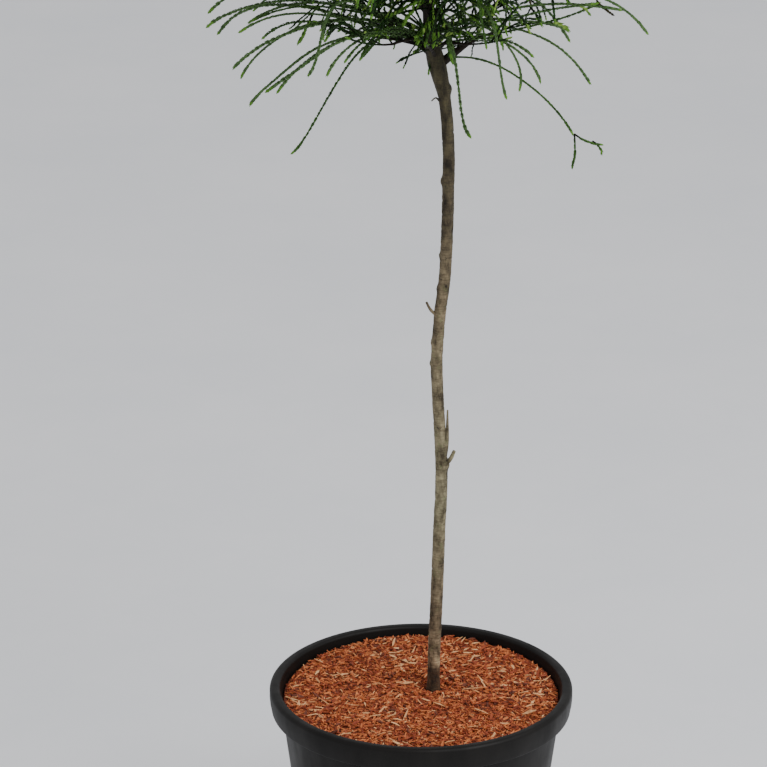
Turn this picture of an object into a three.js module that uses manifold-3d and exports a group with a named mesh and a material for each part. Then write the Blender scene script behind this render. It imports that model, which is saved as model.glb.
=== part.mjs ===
// A whipcord western red cedar grown as a small standard: a clear stem with a mop head of long
// arching whips, standing in a round black nursery pot that is filled with potting mix under a
// layer of shredded bark.
//
// Millimetres, +Z up. The origin is the middle of the pot's flat underside. +X is to the right and
// +Y away from someone who looks at the front of the plant.
import * as THREE from "three";
import { mergeVertices } from "three/addons/utils/BufferGeometryUtils.js";
import Module from "manifold-3d";

const wasm = await Module();
wasm.setup();

// Driving dimensions

const CLEAR = 0.3; // gap kept between pieces that touch

const ROUND_SIDES = 32; // sides of the pot and of what fills it
const POT_HEIGHT = 248;
const RIM_RADIUS = 146.5;
const RIM_ROUND = 3; // rounding of the rim's two top edges
const LIP_WIDTH = 11; // flat top of the rim, from its inner to its outer edge
const SKIRT_HEIGHT = 24; // the outer skirt hangs this far below the rim's top
const SHELL = 2.4; // thickness of the pot's side, its rim and its skirt
const FOOT_RADIUS = 105;
const FOOT_CHAMFER = 5;
const FLOOR = 3;
const DRAIN_HOLES = 6;
const DRAIN_RADIUS = 7;
const DRAIN_SIDES = 6;
const DRAIN_CIRCLE = 84; // radius of the circle that the drain holes lie on
const DRILL_LENGTH = 12;

const BARK_TOP = 236; // mean height of the shredded bark
const BARK_DEPTH = 24;
const BARK_MOUND = 3; // how far the bark stands up between the stem and the side of the pot
const BARK_LUMP = 1.6;
const LUMP_LENGTHS = [13, 17]; // the lumps' waves along x and y, in mm per radian
const BARK_RINGS = 4;

const STEM_FOOT = new THREE.Vector2(12, 15);
const GROUND = 235; // the stem's flat cut
const FOOT_POCKET = 1.2; // how far the bark stays clear of the stem's foot
const POCKET_SIDES = 8;

const TRUNK_SIDES = 8;
const TRUNK_STEPS = 28;
const TRUNK_PLACES = 200; // places along the trunk that are looked up by height
const TRUNK_ROOM = 0.4; // kept between the trunk and the limbs that are cut clear of it
// The stem's line: it leans right, swings left above a dead side shoot, comes back and bends left
// again where the head was grafted.
const TRUNK_LINE = [
  [12, 15, GROUND],
  [13, 15, 285],
  [15, 15, 335],
  [17, 15, 400],
  [19, 15, 455],
  [18, 14, 490],
  [15, 13, 545],
  [14, 13, 580],
  [17, 13, 627],
  [21, 14, 660],
  [24, 15, 745],
  [24, 15, 790],
  [20, 14, 838],
  [14, 13, 866],
  [8, 12, 892],
  [5, 12, 925],
  [4, 12, 970],
  [5, 12, 1040],
];
// Height and radius: a slight flare at the foot, the swollen graft, then the taper to the tip.
const TRUNK_RADII = [
  [GROUND, 7],
  [249, 6.1],
  [455, 5.9],
  [490, 5.6],
  [838, 5.7],
  [858, 7.6],
  [872, 8.6],
  [892, 6.8],
  [960, 4.2],
  [1040, 2.5],
];

// Dead shoots left on the stem: the points of each line, and its radius at the root and the tip.
const SHOOT_SIDES = 5;
const SHOOT_STEPS = 3;
const DEAD_SHOOTS = [
  { line: [[20, 14, 474], [25, 13, 492], [25, 13, 528]], radii: [3, 0.8] },
  { line: [[20, 14, 470], [27, 12, 478], [31, 11, 487]], radii: [2.6, 1.6] },
  { line: [[16, 13, 622], [8, 11, 630], [4, 10, 638]], radii: [1.8, 1.1] },
  { line: [[19, 14, 829], [12, 12, 838], [8, 12, 835]], radii: [1.2, 0.6] },
];
// Knots: height up the stem, azimuth and radius. Each is sunk into the bark by a share of its radius.
const KNOT_SUNK = 0.25;
const KNOTS = [
  [472, 0, 3.6],
  [576, 185, 2],
  [597, 170, 2],
  [651, 190, 2.2],
  [683, 175, 2],
  [756, 180, 3],
  [846, 10, 3.2],
];

const CROWN_AXIS = new THREE.Vector2(5, 12);

const BOUGH_SIDES = 5;
const BOUGH_STEPS = 3;
const BOUGH_ARCH = 0.08; // share of its length by which a bough's middle is raised
const BOUGH_LIFT = 3; // each bough leaves the trunk this many places up or down from the one before
const STEM_SIDES = 4;
const STEM_STEPS = 3;
const STEM_TIP_RADIUS = 2;
const STEM_SPAN = [0.12, 0.97]; // the part of a mass's stem that its whips grow from
const LIMB_PLACES = 12; // places along a bough that foliage is measured from

const WHIP_SIDES = 3;
const WHIP_ROOT = 1.2; // radius of a whip at its root
const WHIP_NECK = 2.2; // where each later joint starts
const WHIP_FLARE = 4.5; // and where the scale leaves round the joint end
const JOINT_LENGTH = 42;
const FEWEST_JOINTS = 2;
const JOINT_STEP = 0.1; // share of a joint in which it falls back from its leaf tips to its neck
const TIP_POINT = 7; // the soft point past a whip's last section
const TIP_LEAN = 0.15; // share of its length by which the point leans to one side
const TIP_LEAN_TURN = Math.PI / 6; // and how far round the limb it leans, past the last ring's turn
const WHIP_PLACES = 16; // places along a whip that are tested for room
const ROOT_PLACES = 3; // of these, the first few lie on its own stem
const WHIP_ROOM = 0.4; // kept round a whip
const LEAF_ROOM = 1; // kept round a leaf's tip
const REACH_BIAS = 0.65; // under 1, so that more whips reach far than stay short
const DOME_CHANCE = 0.2; // share of a domed tier's tip heights that is left to chance
const MOST_TRIES = 160; // whips tried in one mass before it is left as it is
// The scale leaf that stands out of a whip: the share of a joint at which it is rooted, the part of
// the whip that it grows from, and how many whips share one.
const SCALE_LEAF = {
  length: 13,
  width: 4.4,
  thickness: 2.2,
  spread: 30,
  rootShare: 0.75,
  span: [0.4, 0.8],
  every: 3,
};

// The head is built in tiers. Heights are above the floor and radii from the crown's axis.
// floor is the curved surface under a tier: height = floor[0] + floor[1] r - floor[2] r squared.
// wave raises and lowers it round the crown: by how much at WAVE_RADIUS, how many times, and the
// phase in degrees, so that the tiers run into each other seen from any side.
const WAVE_RADIUS = 200;
const TIERS = [
  {
    name: "hem",
    masses: 6,
    turn: -2,
    floor: [700, 0, 0],
    wave: [0, 0, 0],
    stemBase: 858,
    stemTip: [40, 868],
    stemRadius: 3,
    whips: 2,
    reach: [90, 135],
    tipHeight: [790, 835],
    arch: [14, 26],
    seed: 12,
  },
  {
    name: "skirt",
    masses: 8,
    turn: -0.6,
    floor: [869, 0.65, 0.0058],
    wave: [30, 1, 90],
    boughBase: [868, 900],
    boughTip: [46, 896],
    boughRadius: [3.4, 2.6],
    leaderRadius: [4.4, 2.9],
    stemTip: [104, 911],
    whips: 7,
    reach: [76, 205],
    tipHeight: [840, 915],
    arch: [8, 28],
    seed: 28,
  },
  {
    name: "middle",
    masses: 7,
    turn: 20.6,
    floor: [865, 1.2, 0.00475],
    wave: [16, 1, 90],
    boughBase: [911, 946],
    boughTip: [40, 950],
    boughRadius: [3.3, 2.5],
    stemTip: [98, 970],
    whips: 7,
    reach: [76, 212],
    tipHeight: [915, 1010],
    arch: [12, 40],
    seed: 37,
  },
  {
    name: "upper",
    masses: 5,
    turn: 50,
    floor: [910, 2, 0.0083],
    wave: [18, 3, 60],
    boughBase: [953, 985],
    boughTip: [28, 1006],
    boughRadius: [3, 2.4],
    stemTip: [66, 1052],
    whips: 8,
    reach: [55, 196],
    tipHeight: [1000, 1095],
    arch: [12, 40],
    seed: 41,
  },
  {
    name: "crest",
    masses: 1,
    turn: 0,
    floor: [1042, 1.34, 0.007],
    wave: [16, 2, 120],
    stemBase: 1040,
    stemTip: [3, 1078],
    stemRadius: 2.5,
    whips: 13,
    domed: true,
    reach: [30, 160],
    tipHeight: [1095, 1165],
    arch: [12, 46],
    seed: 53,
  },
];
const CEILING = 1190; // nothing grows above this
// The head hangs lower at its back: the seeded whips stay above a plane that rises towards the
// front, of this height at the crown's axis.
const UNDERSIDE_HEIGHT = 862;
const UNDERSIDE_SLOPE = 0.388;

// Whips that stand out at the front of the plant: azimuth from +X towards +Y in degrees, reach
// from the crown's axis, height of the tip, and how far the whip arches above a straight line.
const STANDING_OUT = {
  hem: [
    [-2, 134, 806, 28],
    [184, 126, 790, 34],
    [-61, 78, 820, 12],
  ],
  skirt: [
    [176, 200, 894, 24],
    [172, 180, 862, 24],
    [188, 165, 842, 26],
    [196, 158, 860, 20],
    [162, 182, 850, 24],
    [213, 154, 866, 18],
    [222, 116, 887, 12],
    [4, 198, 894, 26],
    [-6, 150, 860, 26],
    [12, 138, 880, 18],
    [32, 108, 868, 14],
    [-34, 128, 876, 18],
    [-51, 132, 878, 18],
    [-60, 144, 876, 20],
  ],
};
// The right hem whip forks near its tip: azimuth, reach, height and arch of each prong.
const FORKED_WHIP = {
  tier: "hem",
  azimuth: -2,
  share: 0.955,
  prongs: [
    [-2, 136, 771, 1],
    [-1, 161, 792, 1],
  ],
};

// Materials

const finish = (color, roughness) => new THREE.MeshStandardMaterial({ color, roughness, metalness: 0 });
const BLACK_PLASTIC = finish(0x26292b, 0.45);
const POTTING_MIX = finish(0x3a2a1e, 0.95);
const SHREDDED_BARK = finish(0xb4602f, 0.9);
const STEM_BARK = finish(0x77685a, 0.85);
const BOUGH_BARK = finish(0x5b4030, 0.85);
const WHIP_GREEN = finish(0x2f6b1f, 0.7);

// Working tools

const UP = new THREE.Vector3(0, 0, 1);
const ORIGIN = new THREE.Vector2(0, 0);
const FRAMES = 120; // places along a curve at which its direction is worked out
const WELD = 1e-4; // vertices closer than this are one
const SLIVER = 5e-4; // a join that leaves a triangle thinner than this is not made
const SEED_STEP = 16807;
const SEED_RANGE = 2147483647;
const TIER_SEEDS = 1000; // seeds kept for each tier's masses

// Numbers from 0 to 1 in a fixed order: each is SEED_STEP times the last, modulo SEED_RANGE.
function seeded(seed) {
  let state = seed;
  return () => {
    state = (state * SEED_STEP) % SEED_RANGE;
    return state / SEED_RANGE;
  };
}

const between = ([low, high], share) => low + (high - low) * share;
const radians = THREE.MathUtils.degToRad;

// A closed geometry as a solid, with its seams merged.
function solid(geometry) {
  const bare = new THREE.BufferGeometry().setAttribute("position", geometry.getAttribute("position"));
  bare.setIndex(geometry.index);
  const merged = mergeVertices(bare, WELD);
  const vertProperties = new Float32Array(merged.attributes.position.array);
  const triVerts = new Uint32Array(merged.index.array);
  return new wasm.Manifold(new wasm.Mesh({ numProp: 3, vertProperties, triVerts }));
}

// A solid back as a named three.js mesh.
function piece(name, body, material) {
  const mesh = body.getMesh();
  const geometry = new THREE.BufferGeometry();
  geometry.setAttribute("position", new THREE.BufferAttribute(new Float32Array(mesh.vertProperties), 3));
  geometry.setIndex(new THREE.BufferAttribute(new Uint32Array(mesh.triVerts), 1));
  geometry.computeVertexNormals();
  const made = new THREE.Mesh(geometry, material);
  made.name = name;
  return made;
}

// A solid of revolution about +Z, from a profile of [radius, height] that starts and ends on the axis.
function turned(profile) {
  const points = profile.map(([radius, height]) => new THREE.Vector2(radius, height));
  return new THREE.LatheGeometry(points, ROUND_SIDES).rotateX(Math.PI / 2);
}

// A round limb: a closed cylinder bent along a curve. Each ring is [share of the length, radius,
// turn about the curve], and point moves the middle of the far end out, for a soft tip that leans
// a little to one side.
function limb(curve, rings, sides, point = 0) {
  const last = rings.length - 1;
  const shape = new THREE.CylinderGeometry(1, 1, 1, sides, last);
  const frames = curve.computeFrenetFrames(FRAMES);
  const place = shape.getAttribute("position");
  const section = new THREE.Vector2();
  const at = new THREE.Vector3();
  for (let i = 0; i < place.count; i++) {
    const ring = Math.round((place.getY(i) + 0.5) * last);
    const [share, radius, turn = 0] = rings[ring];
    const frame = Math.round(share * FRAMES);
    section.set(place.getX(i), place.getZ(i)).rotateAround(ORIGIN, turn);
    curve.getPointAt(share, at);
    at.addScaledVector(frames.binormals[frame], section.x * radius);
    at.addScaledVector(frames.normals[frame], section.y * radius);
    if (ring === last && section.length() < WELD) {
      const lean = new THREE.Vector2(point * TIP_LEAN, 0);
      lean.rotateAround(ORIGIN, turn + TIP_LEAN_TURN);
      at.addScaledVector(frames.tangents[frame], point);
      at.addScaledVector(frames.binormals[frame], lean.x);
      at.addScaledVector(frames.normals[frame], lean.y);
    }
    place.setXYZ(i, at.x, at.y, at.z);
  }
  return solid(shape);
}

// Rings for a smooth limb: evenly spaced, with the radius read from a function of the share.
const evenRings = (steps, radiusAt) =>
  Array.from({ length: steps + 1 }, (_, step) => [step / steps, radiusAt(step / steps)]);

// The largest of a solid's separate bodies, without the loose scraps that a join can leave.
function mainBody(body) {
  return body.decompose().reduce((best, part) => (part.volume() > best.volume() ? part : best));
}

// The height of a body's thinnest triangle, measured on that triangle's longest edge.
function thinnest(body) {
  const { vertProperties, triVerts } = body.getMesh();
  const corner = (index) => new THREE.Vector3().fromArray(vertProperties, 3 * index);
  let least = Infinity;
  for (let i = 0; i < triVerts.length; i += 3) {
    const [a, b, c] = [corner(triVerts[i]), corner(triVerts[i + 1]), corner(triVerts[i + 2])];
    const longest = Math.max(a.distanceTo(b), b.distanceTo(c), c.distanceTo(a));
    least = Math.min(least, (2 * new THREE.Triangle(a, b, c).getArea()) / longest);
  }
  return least;
}

// The value of a table of [height, value] rows at a height, in straight lines between rows.
function readAt(table, height) {
  const next = table.findIndex(([row]) => row >= height);
  if (next < 0) return table.at(-1)[1];
  if (next === 0) return table[0][1];
  const [[lowRow, low], [highRow, high]] = [table[next - 1], table[next]];
  return low + ((high - low) * (height - lowRow)) / (highRow - lowRow);
}

// A point given by its azimuth and radius about the crown's axis and its height.
function aroundCrown(azimuth, radius, height) {
  const angle = radians(azimuth);
  return new THREE.Vector3(
    CROWN_AXIS.x + radius * Math.cos(angle),
    CROWN_AXIS.y + radius * Math.sin(angle),
    height,
  );
}

// Pot

const sideTop = RIM_RADIUS - LIP_WIDTH;
const sideAt = (height) => FOOT_RADIUS + ((sideTop + SHELL - FOOT_RADIUS) * height) / POT_HEIGHT;

// A moulded shell: a tapered side on a chamfered foot, a rim folded out and down into a skirt that
// is open underneath, and drain holes in the floor.
function makePot() {
  const skirtFoot = POT_HEIGHT - SKIRT_HEIGHT;
  const lipUnderside = POT_HEIGHT - RIM_ROUND - SHELL;
  const shell = turned([
    [0, 0],
    [FOOT_RADIUS - FOOT_CHAMFER, 0],
    [sideAt(FOOT_CHAMFER), FOOT_CHAMFER],
    [sideAt(lipUnderside), lipUnderside],
    [RIM_RADIUS - SHELL, lipUnderside],
    [RIM_RADIUS - SHELL, skirtFoot],
    [RIM_RADIUS, skirtFoot],
    [RIM_RADIUS, POT_HEIGHT - RIM_ROUND],
    [RIM_RADIUS - RIM_ROUND, POT_HEIGHT],
    [sideTop + RIM_ROUND, POT_HEIGHT],
    [sideTop, POT_HEIGHT - RIM_ROUND],
    [sideAt(FLOOR + FOOT_CHAMFER) - SHELL, FLOOR + FOOT_CHAMFER],
    [FOOT_RADIUS - FOOT_CHAMFER - SHELL, FLOOR],
    [0, FLOOR],
  ]);
  let body = solid(shell);
  for (let hole = 0; hole < DRAIN_HOLES; hole++) {
    const angle = (2 * Math.PI * (hole + 0.5)) / DRAIN_HOLES;
    const drill = new THREE.CylinderGeometry(DRAIN_RADIUS, DRAIN_RADIUS, DRILL_LENGTH, DRAIN_SIDES);
    drill.rotateX(Math.PI / 2);
    drill.translate(DRAIN_CIRCLE * Math.cos(angle), DRAIN_CIRCLE * Math.sin(angle), FLOOR / 2);
    body = body.subtract(solid(drill));
  }
  return body;
}

// Potting mix and shredded bark

const barkFoot = BARK_TOP - BARK_DEPTH;
const fillAt = (height) => sideAt(height) - SHELL - 2 * CLEAR;

// The mix fills the pot up to the bark.
function makePottingMix() {
  return solid(
    turned([
      [0, FLOOR + CLEAR],
      [FOOT_RADIUS - FOOT_CHAMFER - SHELL - 2 * CLEAR, FLOOR + CLEAR],
      [fillAt(FLOOR + FOOT_CHAMFER), FLOOR + FOOT_CHAMFER + CLEAR],
      [fillAt(barkFoot), barkFoot - CLEAR],
      [0, barkFoot - CLEAR],
    ]),
  );
}

// The height of the bark's top: a low ring-shaped mound with lumps, lower at the stem and the pot.
function barkHeight(x, y, edge) {
  const share = Math.min(1, Math.hypot(x - STEM_FOOT.x, y - STEM_FOOT.y) / edge);
  const lumps = Math.sin(x / LUMP_LENGTHS[0]) * Math.cos(y / LUMP_LENGTHS[1]);
  return BARK_TOP + (BARK_MOUND + BARK_LUMP * lumps) * Math.sin(Math.PI * share);
}

// A round layer over the mix, with a flat pocket that the stem's foot stands in.
function makeBark() {
  const edge = fillAt(BARK_TOP) - CLEAR;
  const profile = [
    [0, barkFoot],
    [fillAt(barkFoot), barkFoot],
  ];
  for (let ring = BARK_RINGS; ring >= 0; ring--) profile.push([(edge * ring) / BARK_RINGS, BARK_TOP]);
  const shape = turned(profile);
  const place = shape.getAttribute("position");
  for (let i = 0; i < place.count; i++)
    if (place.getZ(i) > BARK_TOP - WELD) place.setZ(i, barkHeight(place.getX(i), place.getY(i), edge));
  const pocketRadius = TRUNK_RADII[0][1] + FOOT_POCKET;
  const pocket = new THREE.CylinderGeometry(pocketRadius, pocketRadius, BARK_DEPTH, POCKET_SIDES);
  pocket.rotateX(Math.PI / 2);
  pocket.translate(STEM_FOOT.x, STEM_FOOT.y, GROUND - CLEAR + BARK_DEPTH / 2);
  return solid(shape).subtract(solid(pocket));
}

// Trunk

const trunkCurve = new THREE.CatmullRomCurve3(TRUNK_LINE.map((p) => new THREE.Vector3(...p)));
const trunkPlaces = trunkCurve.getSpacedPoints(TRUNK_PLACES);
const trunkAt = (height) => trunkPlaces.find((p) => p.z >= height) ?? trunkPlaces.at(-1);

// The stem alone. grow widens it, for the room that other limbs keep from it.
function stemLimb(grow) {
  const radiusAt = (share) => readAt(TRUNK_RADII, trunkCurve.getPointAt(share).z) + grow;
  return limb(trunkCurve, evenRings(TRUNK_STEPS, radiusAt), TRUNK_SIDES);
}

// The stem from its flat cut on the bark to its tip inside the head, with its dead shoots and knots.
function makeTrunk() {
  let body = stemLimb(0);
  for (const { line, radii } of DEAD_SHOOTS) {
    const curve = new THREE.CatmullRomCurve3(line.map((p) => new THREE.Vector3(...p)));
    body = body.add(limb(curve, evenRings(SHOOT_STEPS, (share) => between(radii, share)), SHOOT_SIDES));
  }
  for (const [height, azimuth, radius] of KNOTS) {
    const out = readAt(TRUNK_RADII, height) - radius * KNOT_SUNK;
    const heart = trunkAt(height);
    const knot = new THREE.IcosahedronGeometry(radius, 0);
    const angle = radians(azimuth);
    knot.translate(heart.x + out * Math.cos(angle), heart.y + out * Math.sin(angle), height);
    body = body.add(solid(knot));
  }
  return body;
}

// Boughs

const trunkRoom = stemLimb(TRUNK_ROOM);

// A bough leaves the trunk, rises in one arc and ends square at its tip. Neighbours round a tier
// leave it at different heights. The first of the lowest tier is the graft's right-hand leader.
function makeBough(tier, k) {
  const lift = ((k * BOUGH_LIFT) % tier.masses) / tier.masses;
  const radii = (k === 0 && tier.leaderRadius) || tier.boughRadius;
  const root = trunkAt(between(tier.boughBase, lift)).clone();
  const tip = aroundCrown(azimuthOf(tier, k), ...tier.boughTip);
  const bend = root.clone().lerp(tip, 0.5).addScaledVector(UP, BOUGH_ARCH * root.distanceTo(tip));
  const curve = new THREE.QuadraticBezierCurve3(root, bend, tip);
  const whole = limb(curve, evenRings(BOUGH_STEPS, (share) => between(radii, share)), BOUGH_SIDES);
  return { tier, k, curve, radii, body: whole.subtract(trunkRoom) };
}

const azimuthOf = (tier, k) => tier.turn + (360 * k) / tier.masses;
const boughs = TIERS.filter((tier) => tier.boughTip).flatMap((tier) =>
  Array.from({ length: tier.masses }, (_, k) => makeBough(tier, k)),
);

// Foliage masses

// Every limb that foliage has to stay clear of: places along it, each with the limb's radius.
const limbPlaces = trunkPlaces.map((p) => ({ p, radius: readAt(TRUNK_RADII, p.z) }));
for (const { curve, radii } of boughs)
  for (const p of curve.getSpacedPoints(LIMB_PLACES)) limbPlaces.push({ p, radius: radii[0] });
const clearOfLimbs = (p, room) => limbPlaces.every((l) => l.p.distanceTo(p) > l.radius + room);

// The angle between two azimuths in degrees, as a positive number of radians.
function apart(one, other) {
  const turn = radians(one - other);
  return Math.abs(Math.atan2(Math.sin(turn), Math.cos(turn)));
}

// How far the surface under a tier is raised or lowered at a radius and an azimuth in degrees.
function waveAt({ wave: [size, waves, phase] }, radius, azimuth) {
  return (size * radius * Math.cos(radians(waves * azimuth + phase))) / WAVE_RADIUS;
}

function floorUnder(tier, radius, azimuth) {
  const [base, rise, fall] = tier.floor;
  return base + rise * radius - fall * radius * radius + waveAt(tier, radius, azimuth);
}

// True where a point lies in the mass's own space with the given room round it: inside its wedge
// of the crown, above the surface under its tier and below the surface under the next one.
function inSpace(tier, azimuth, p, room) {
  const [x, y] = [p.x - CROWN_AXIS.x, p.y - CROWN_AXIS.y];
  const radius = Math.hypot(x, y);
  const turn = THREE.MathUtils.radToDeg(Math.atan2(y, x));
  const above = TIERS[TIERS.indexOf(tier) + 1];
  if (p.z < floorUnder(tier, radius, turn) + room) return false;
  if (p.z > (above ? floorUnder(above, radius, turn) : CEILING) - room) return false;
  if (tier.masses === 1) return true;
  const inside = Math.PI / tier.masses - apart(turn, azimuth);
  return inside > 0 && radius * Math.sin(inside) > room;
}

const aboveUnderside = (p) => p.z > UNDERSIDE_HEIGHT + UNDERSIDE_SLOPE * (CROWN_AXIS.y - p.y);

// A whip's line: from its root to its tip, arched above a straight line by the given height.
function whipLine(root, tip, arch) {
  const bend = root.clone().lerp(tip, 0.5).addScaledVector(UP, 2 * arch);
  return new THREE.QuadraticBezierCurve3(root, bend, tip);
}

const jointsOn = (line) => Math.max(FEWEST_JOINTS, Math.round(line.getLength() / JOINT_LENGTH));

// A whip is a chain of joints. Each flares from its neck to the tips of the scale leaves round it,
// falls back to the next neck, and is turned by half a side from the joint before it.
function whip(line) {
  const joints = jointsOn(line);
  const rings = [];
  for (let joint = 0; joint < joints; joint++) {
    const turn = (joint % 2) * (Math.PI / WHIP_SIDES);
    rings.push([joint / joints, joint ? WHIP_NECK : WHIP_ROOT, turn]);
    rings.push([(joint + 1 - JOINT_STEP) / joints, WHIP_FLARE, turn]);
  }
  rings.push([1, WHIP_NECK]);
  return limb(line, rings, WHIP_SIDES, TIP_POINT);
}

// One scale leaf that stands out of a whip's joint: eight-faced and flattened, rooted on the whip's
// own line and leaning towards its tip.
function scaleLeaf(line, joint, turn) {
  const { length, width, thickness, spread, rootShare } = SCALE_LEAF;
  const neck = line.getPointAt(joint / jointsOn(line));
  const flare = line.getPointAt((joint + 1 - JOINT_STEP) / jointsOn(line));
  const root = neck.clone().lerp(flare, rootShare);
  const along = flare.sub(neck).normalize();
  const flat = new THREE.Vector3().crossVectors(along, UP).normalize().applyAxisAngle(along, turn);
  const lean = along.clone().applyAxisAngle(flat, radians(spread));
  const frame = new THREE.Matrix4().makeBasis(
    flat.clone().multiplyScalar(width / 2),
    lean.clone().multiplyScalar(length / 2),
    new THREE.Vector3().crossVectors(flat, lean).multiplyScalar(thickness / 2),
  );
  frame.setPosition(root.clone().addScaledVector(lean, length / 2));
  const body = solid(new THREE.OctahedronGeometry(1, 0).applyMatrix4(frame));
  return { body, tip: root.addScaledVector(lean, length) };
}

// The numbers of a mass's next whip: the seeded ones, or those of a whip that stands out there.
function nextWhip(tier, azimuth, grown, tries, random, wanted) {
  const start = between(STEM_SPAN, (grown + random()) / tier.whips);
  const sweep = ((tries % tier.whips) + random()) / tier.whips - 0.5;
  const share = Math.pow(random(), REACH_BIAS);
  const reach = between(tier.reach, share);
  const lift = random();
  const dome = (1 - share * share) * (1 - DOME_CHANCE + DOME_CHANCE * lift);
  const height = between(tier.tipHeight, tier.domed ? dome : lift);
  const arch = between(tier.arch, random());
  const leafAt = between(SCALE_LEAF.span, random());
  const leafTurn = 2 * Math.PI * random();
  const seededTurn = azimuth + (sweep * 360) / tier.masses;
  const seededTip = [seededTurn, reach, height + waveAt(tier, reach, seededTurn), arch];
  const [turn, far, high, rise] = wanted[tries] ?? seededTip;
  return { start, turn, tip: aroundCrown(turn, far, high), rise, leafAt, leafTurn };
}

// One mass: a stem, and the whips that fan out from it. The whips that stand out in its wedge come
// first, then seeded ones. A whip without room is skipped.
function growMass(tier, k, stem, stemRadius) {
  const azimuth = azimuthOf(tier, k);
  const random = seeded(tier.seed * TIER_SEEDS + k);
  const fits = (p, room) => inSpace(tier, azimuth, p, room) && clearOfLimbs(p, room);
  const stemRings = evenRings(STEM_STEPS, (share) => between([stemRadius, STEM_TIP_RADIUS], share));
  let body = limb(stem, stemRings, STEM_SIDES, TIP_POINT);
  const here = ([turn]) => apart(turn, azimuth) < Math.PI / tier.masses;
  const wanted = (STANDING_OUT[tier.name] ?? []).filter(here);
  let grown = 0;
  for (let tries = 0; grown < tier.whips && tries < MOST_TRIES; tries++) {
    const next = nextWhip(tier, azimuth, grown, tries, random, wanted);
    const line = whipLine(stem.getPointAt(next.start), next.tip, next.rise);
    const places = line.getSpacedPoints(WHIP_PLACES).slice(ROOT_PLACES);
    if (!places.every((p) => fits(p, WHIP_FLARE + WHIP_ROOM))) continue;
    if (!wanted[tries] && !places.every(aboveUnderside)) continue;
    let joined = body.add(whip(line));
    const leaf = scaleLeaf(line, Math.floor(next.leafAt * jointsOn(line)), next.leafTurn);
    if (grown % SCALE_LEAF.every === 0 && fits(leaf.tip, LEAF_ROOM)) joined = joined.add(leaf.body);
    if (tier.name === FORKED_WHIP.tier && next.turn === FORKED_WHIP.azimuth)
      for (const [turn, far, high, rise] of FORKED_WHIP.prongs) {
        const fork = line.getPointAt(FORKED_WHIP.share);
        joined = joined.add(whip(whipLine(fork, aroundCrown(turn, far, high), rise)));
      }
    if (thinnest(joined) < SLIVER) continue;
    body = joined;
    grown++;
  }
  return body;
}

// A stem on a bough starts just past the bough's tip and leaves along it. A stem on the trunk runs
// straight, and is cut clear of the trunk.
function makeMass(tier, k) {
  const end = aroundCrown(azimuthOf(tier, k), ...tier.stemTip);
  const bough = boughs.find((b) => b.tier === tier && b.k === k);
  if (bough) {
    const ahead = bough.curve.getTangent(1);
    const root = bough.curve.getPoint(1).addScaledVector(ahead, CLEAR);
    const bend = root.clone().addScaledVector(ahead, root.distanceTo(end) / 2);
    const stem = new THREE.QuadraticBezierCurve3(root, bend, end);
    return mainBody(growMass(tier, k, stem, bough.radii[1]));
  }
  const root = trunkAt(tier.stemBase).clone().addScaledVector(UP, CLEAR);
  const stem = new THREE.QuadraticBezierCurve3(root, root.clone().lerp(end, 0.5), end);
  return mainBody(growMass(tier, k, stem, tier.stemRadius).subtract(trunkRoom));
}

// The whole plant

const plant = new THREE.Group();
plant.add(piece("pot", makePot(), BLACK_PLASTIC));
plant.add(piece("potting_mix", makePottingMix(), POTTING_MIX));
plant.add(piece("bark_mulch", makeBark(), SHREDDED_BARK));
plant.add(piece("trunk", makeTrunk(), STEM_BARK));
for (const { tier, k, body } of boughs) plant.add(piece(`bough_${tier.name}_${k + 1}`, body, BOUGH_BARK));
for (const tier of TIERS)
  for (let k = 0; k < tier.masses; k++)
    plant.add(piece(`foliage_${tier.name}_${k + 1}`, makeMass(tier, k), WHIP_GREEN));

export default plant;
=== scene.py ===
"""A potted whipcord western red cedar, grown as a small standard.

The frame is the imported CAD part: a nursery pot standing on the floor at z = 0, its middle at x = y = 0,
the stem to 1.04 m and the head of whips above it. Each section below dresses one piece or group of it.
Sizes are in metres. The camera stands on the -Y side, where the photo was taken.
"""

import math

import bpy
import numpy as np
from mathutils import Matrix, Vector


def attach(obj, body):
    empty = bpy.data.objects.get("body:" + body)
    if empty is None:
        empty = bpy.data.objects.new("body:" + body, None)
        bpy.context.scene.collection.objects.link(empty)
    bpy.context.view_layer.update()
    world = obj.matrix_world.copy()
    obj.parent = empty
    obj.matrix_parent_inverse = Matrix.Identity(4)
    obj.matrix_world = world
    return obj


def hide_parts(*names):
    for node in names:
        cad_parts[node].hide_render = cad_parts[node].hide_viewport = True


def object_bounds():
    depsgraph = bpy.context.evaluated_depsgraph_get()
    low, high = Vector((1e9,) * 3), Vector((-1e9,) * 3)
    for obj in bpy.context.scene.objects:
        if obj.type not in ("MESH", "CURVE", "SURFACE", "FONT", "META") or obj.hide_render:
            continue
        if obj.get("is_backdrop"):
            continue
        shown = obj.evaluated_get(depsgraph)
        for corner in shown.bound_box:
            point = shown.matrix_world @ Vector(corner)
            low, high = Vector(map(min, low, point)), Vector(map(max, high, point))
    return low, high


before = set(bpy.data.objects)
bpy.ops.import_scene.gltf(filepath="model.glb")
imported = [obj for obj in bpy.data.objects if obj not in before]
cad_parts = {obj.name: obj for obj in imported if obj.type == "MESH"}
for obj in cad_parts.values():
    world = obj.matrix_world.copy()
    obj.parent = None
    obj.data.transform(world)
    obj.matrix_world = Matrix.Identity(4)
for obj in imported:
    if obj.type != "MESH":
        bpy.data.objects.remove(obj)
cad_low, cad_high = (np.array(corner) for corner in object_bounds())

# Pot.
# A moulded nursery pot of dull charcoal plastic: a tapering side, a rim rolled outward over a short
# skirt that is open underneath, and a chamfered foot with six drain holes.

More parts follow.
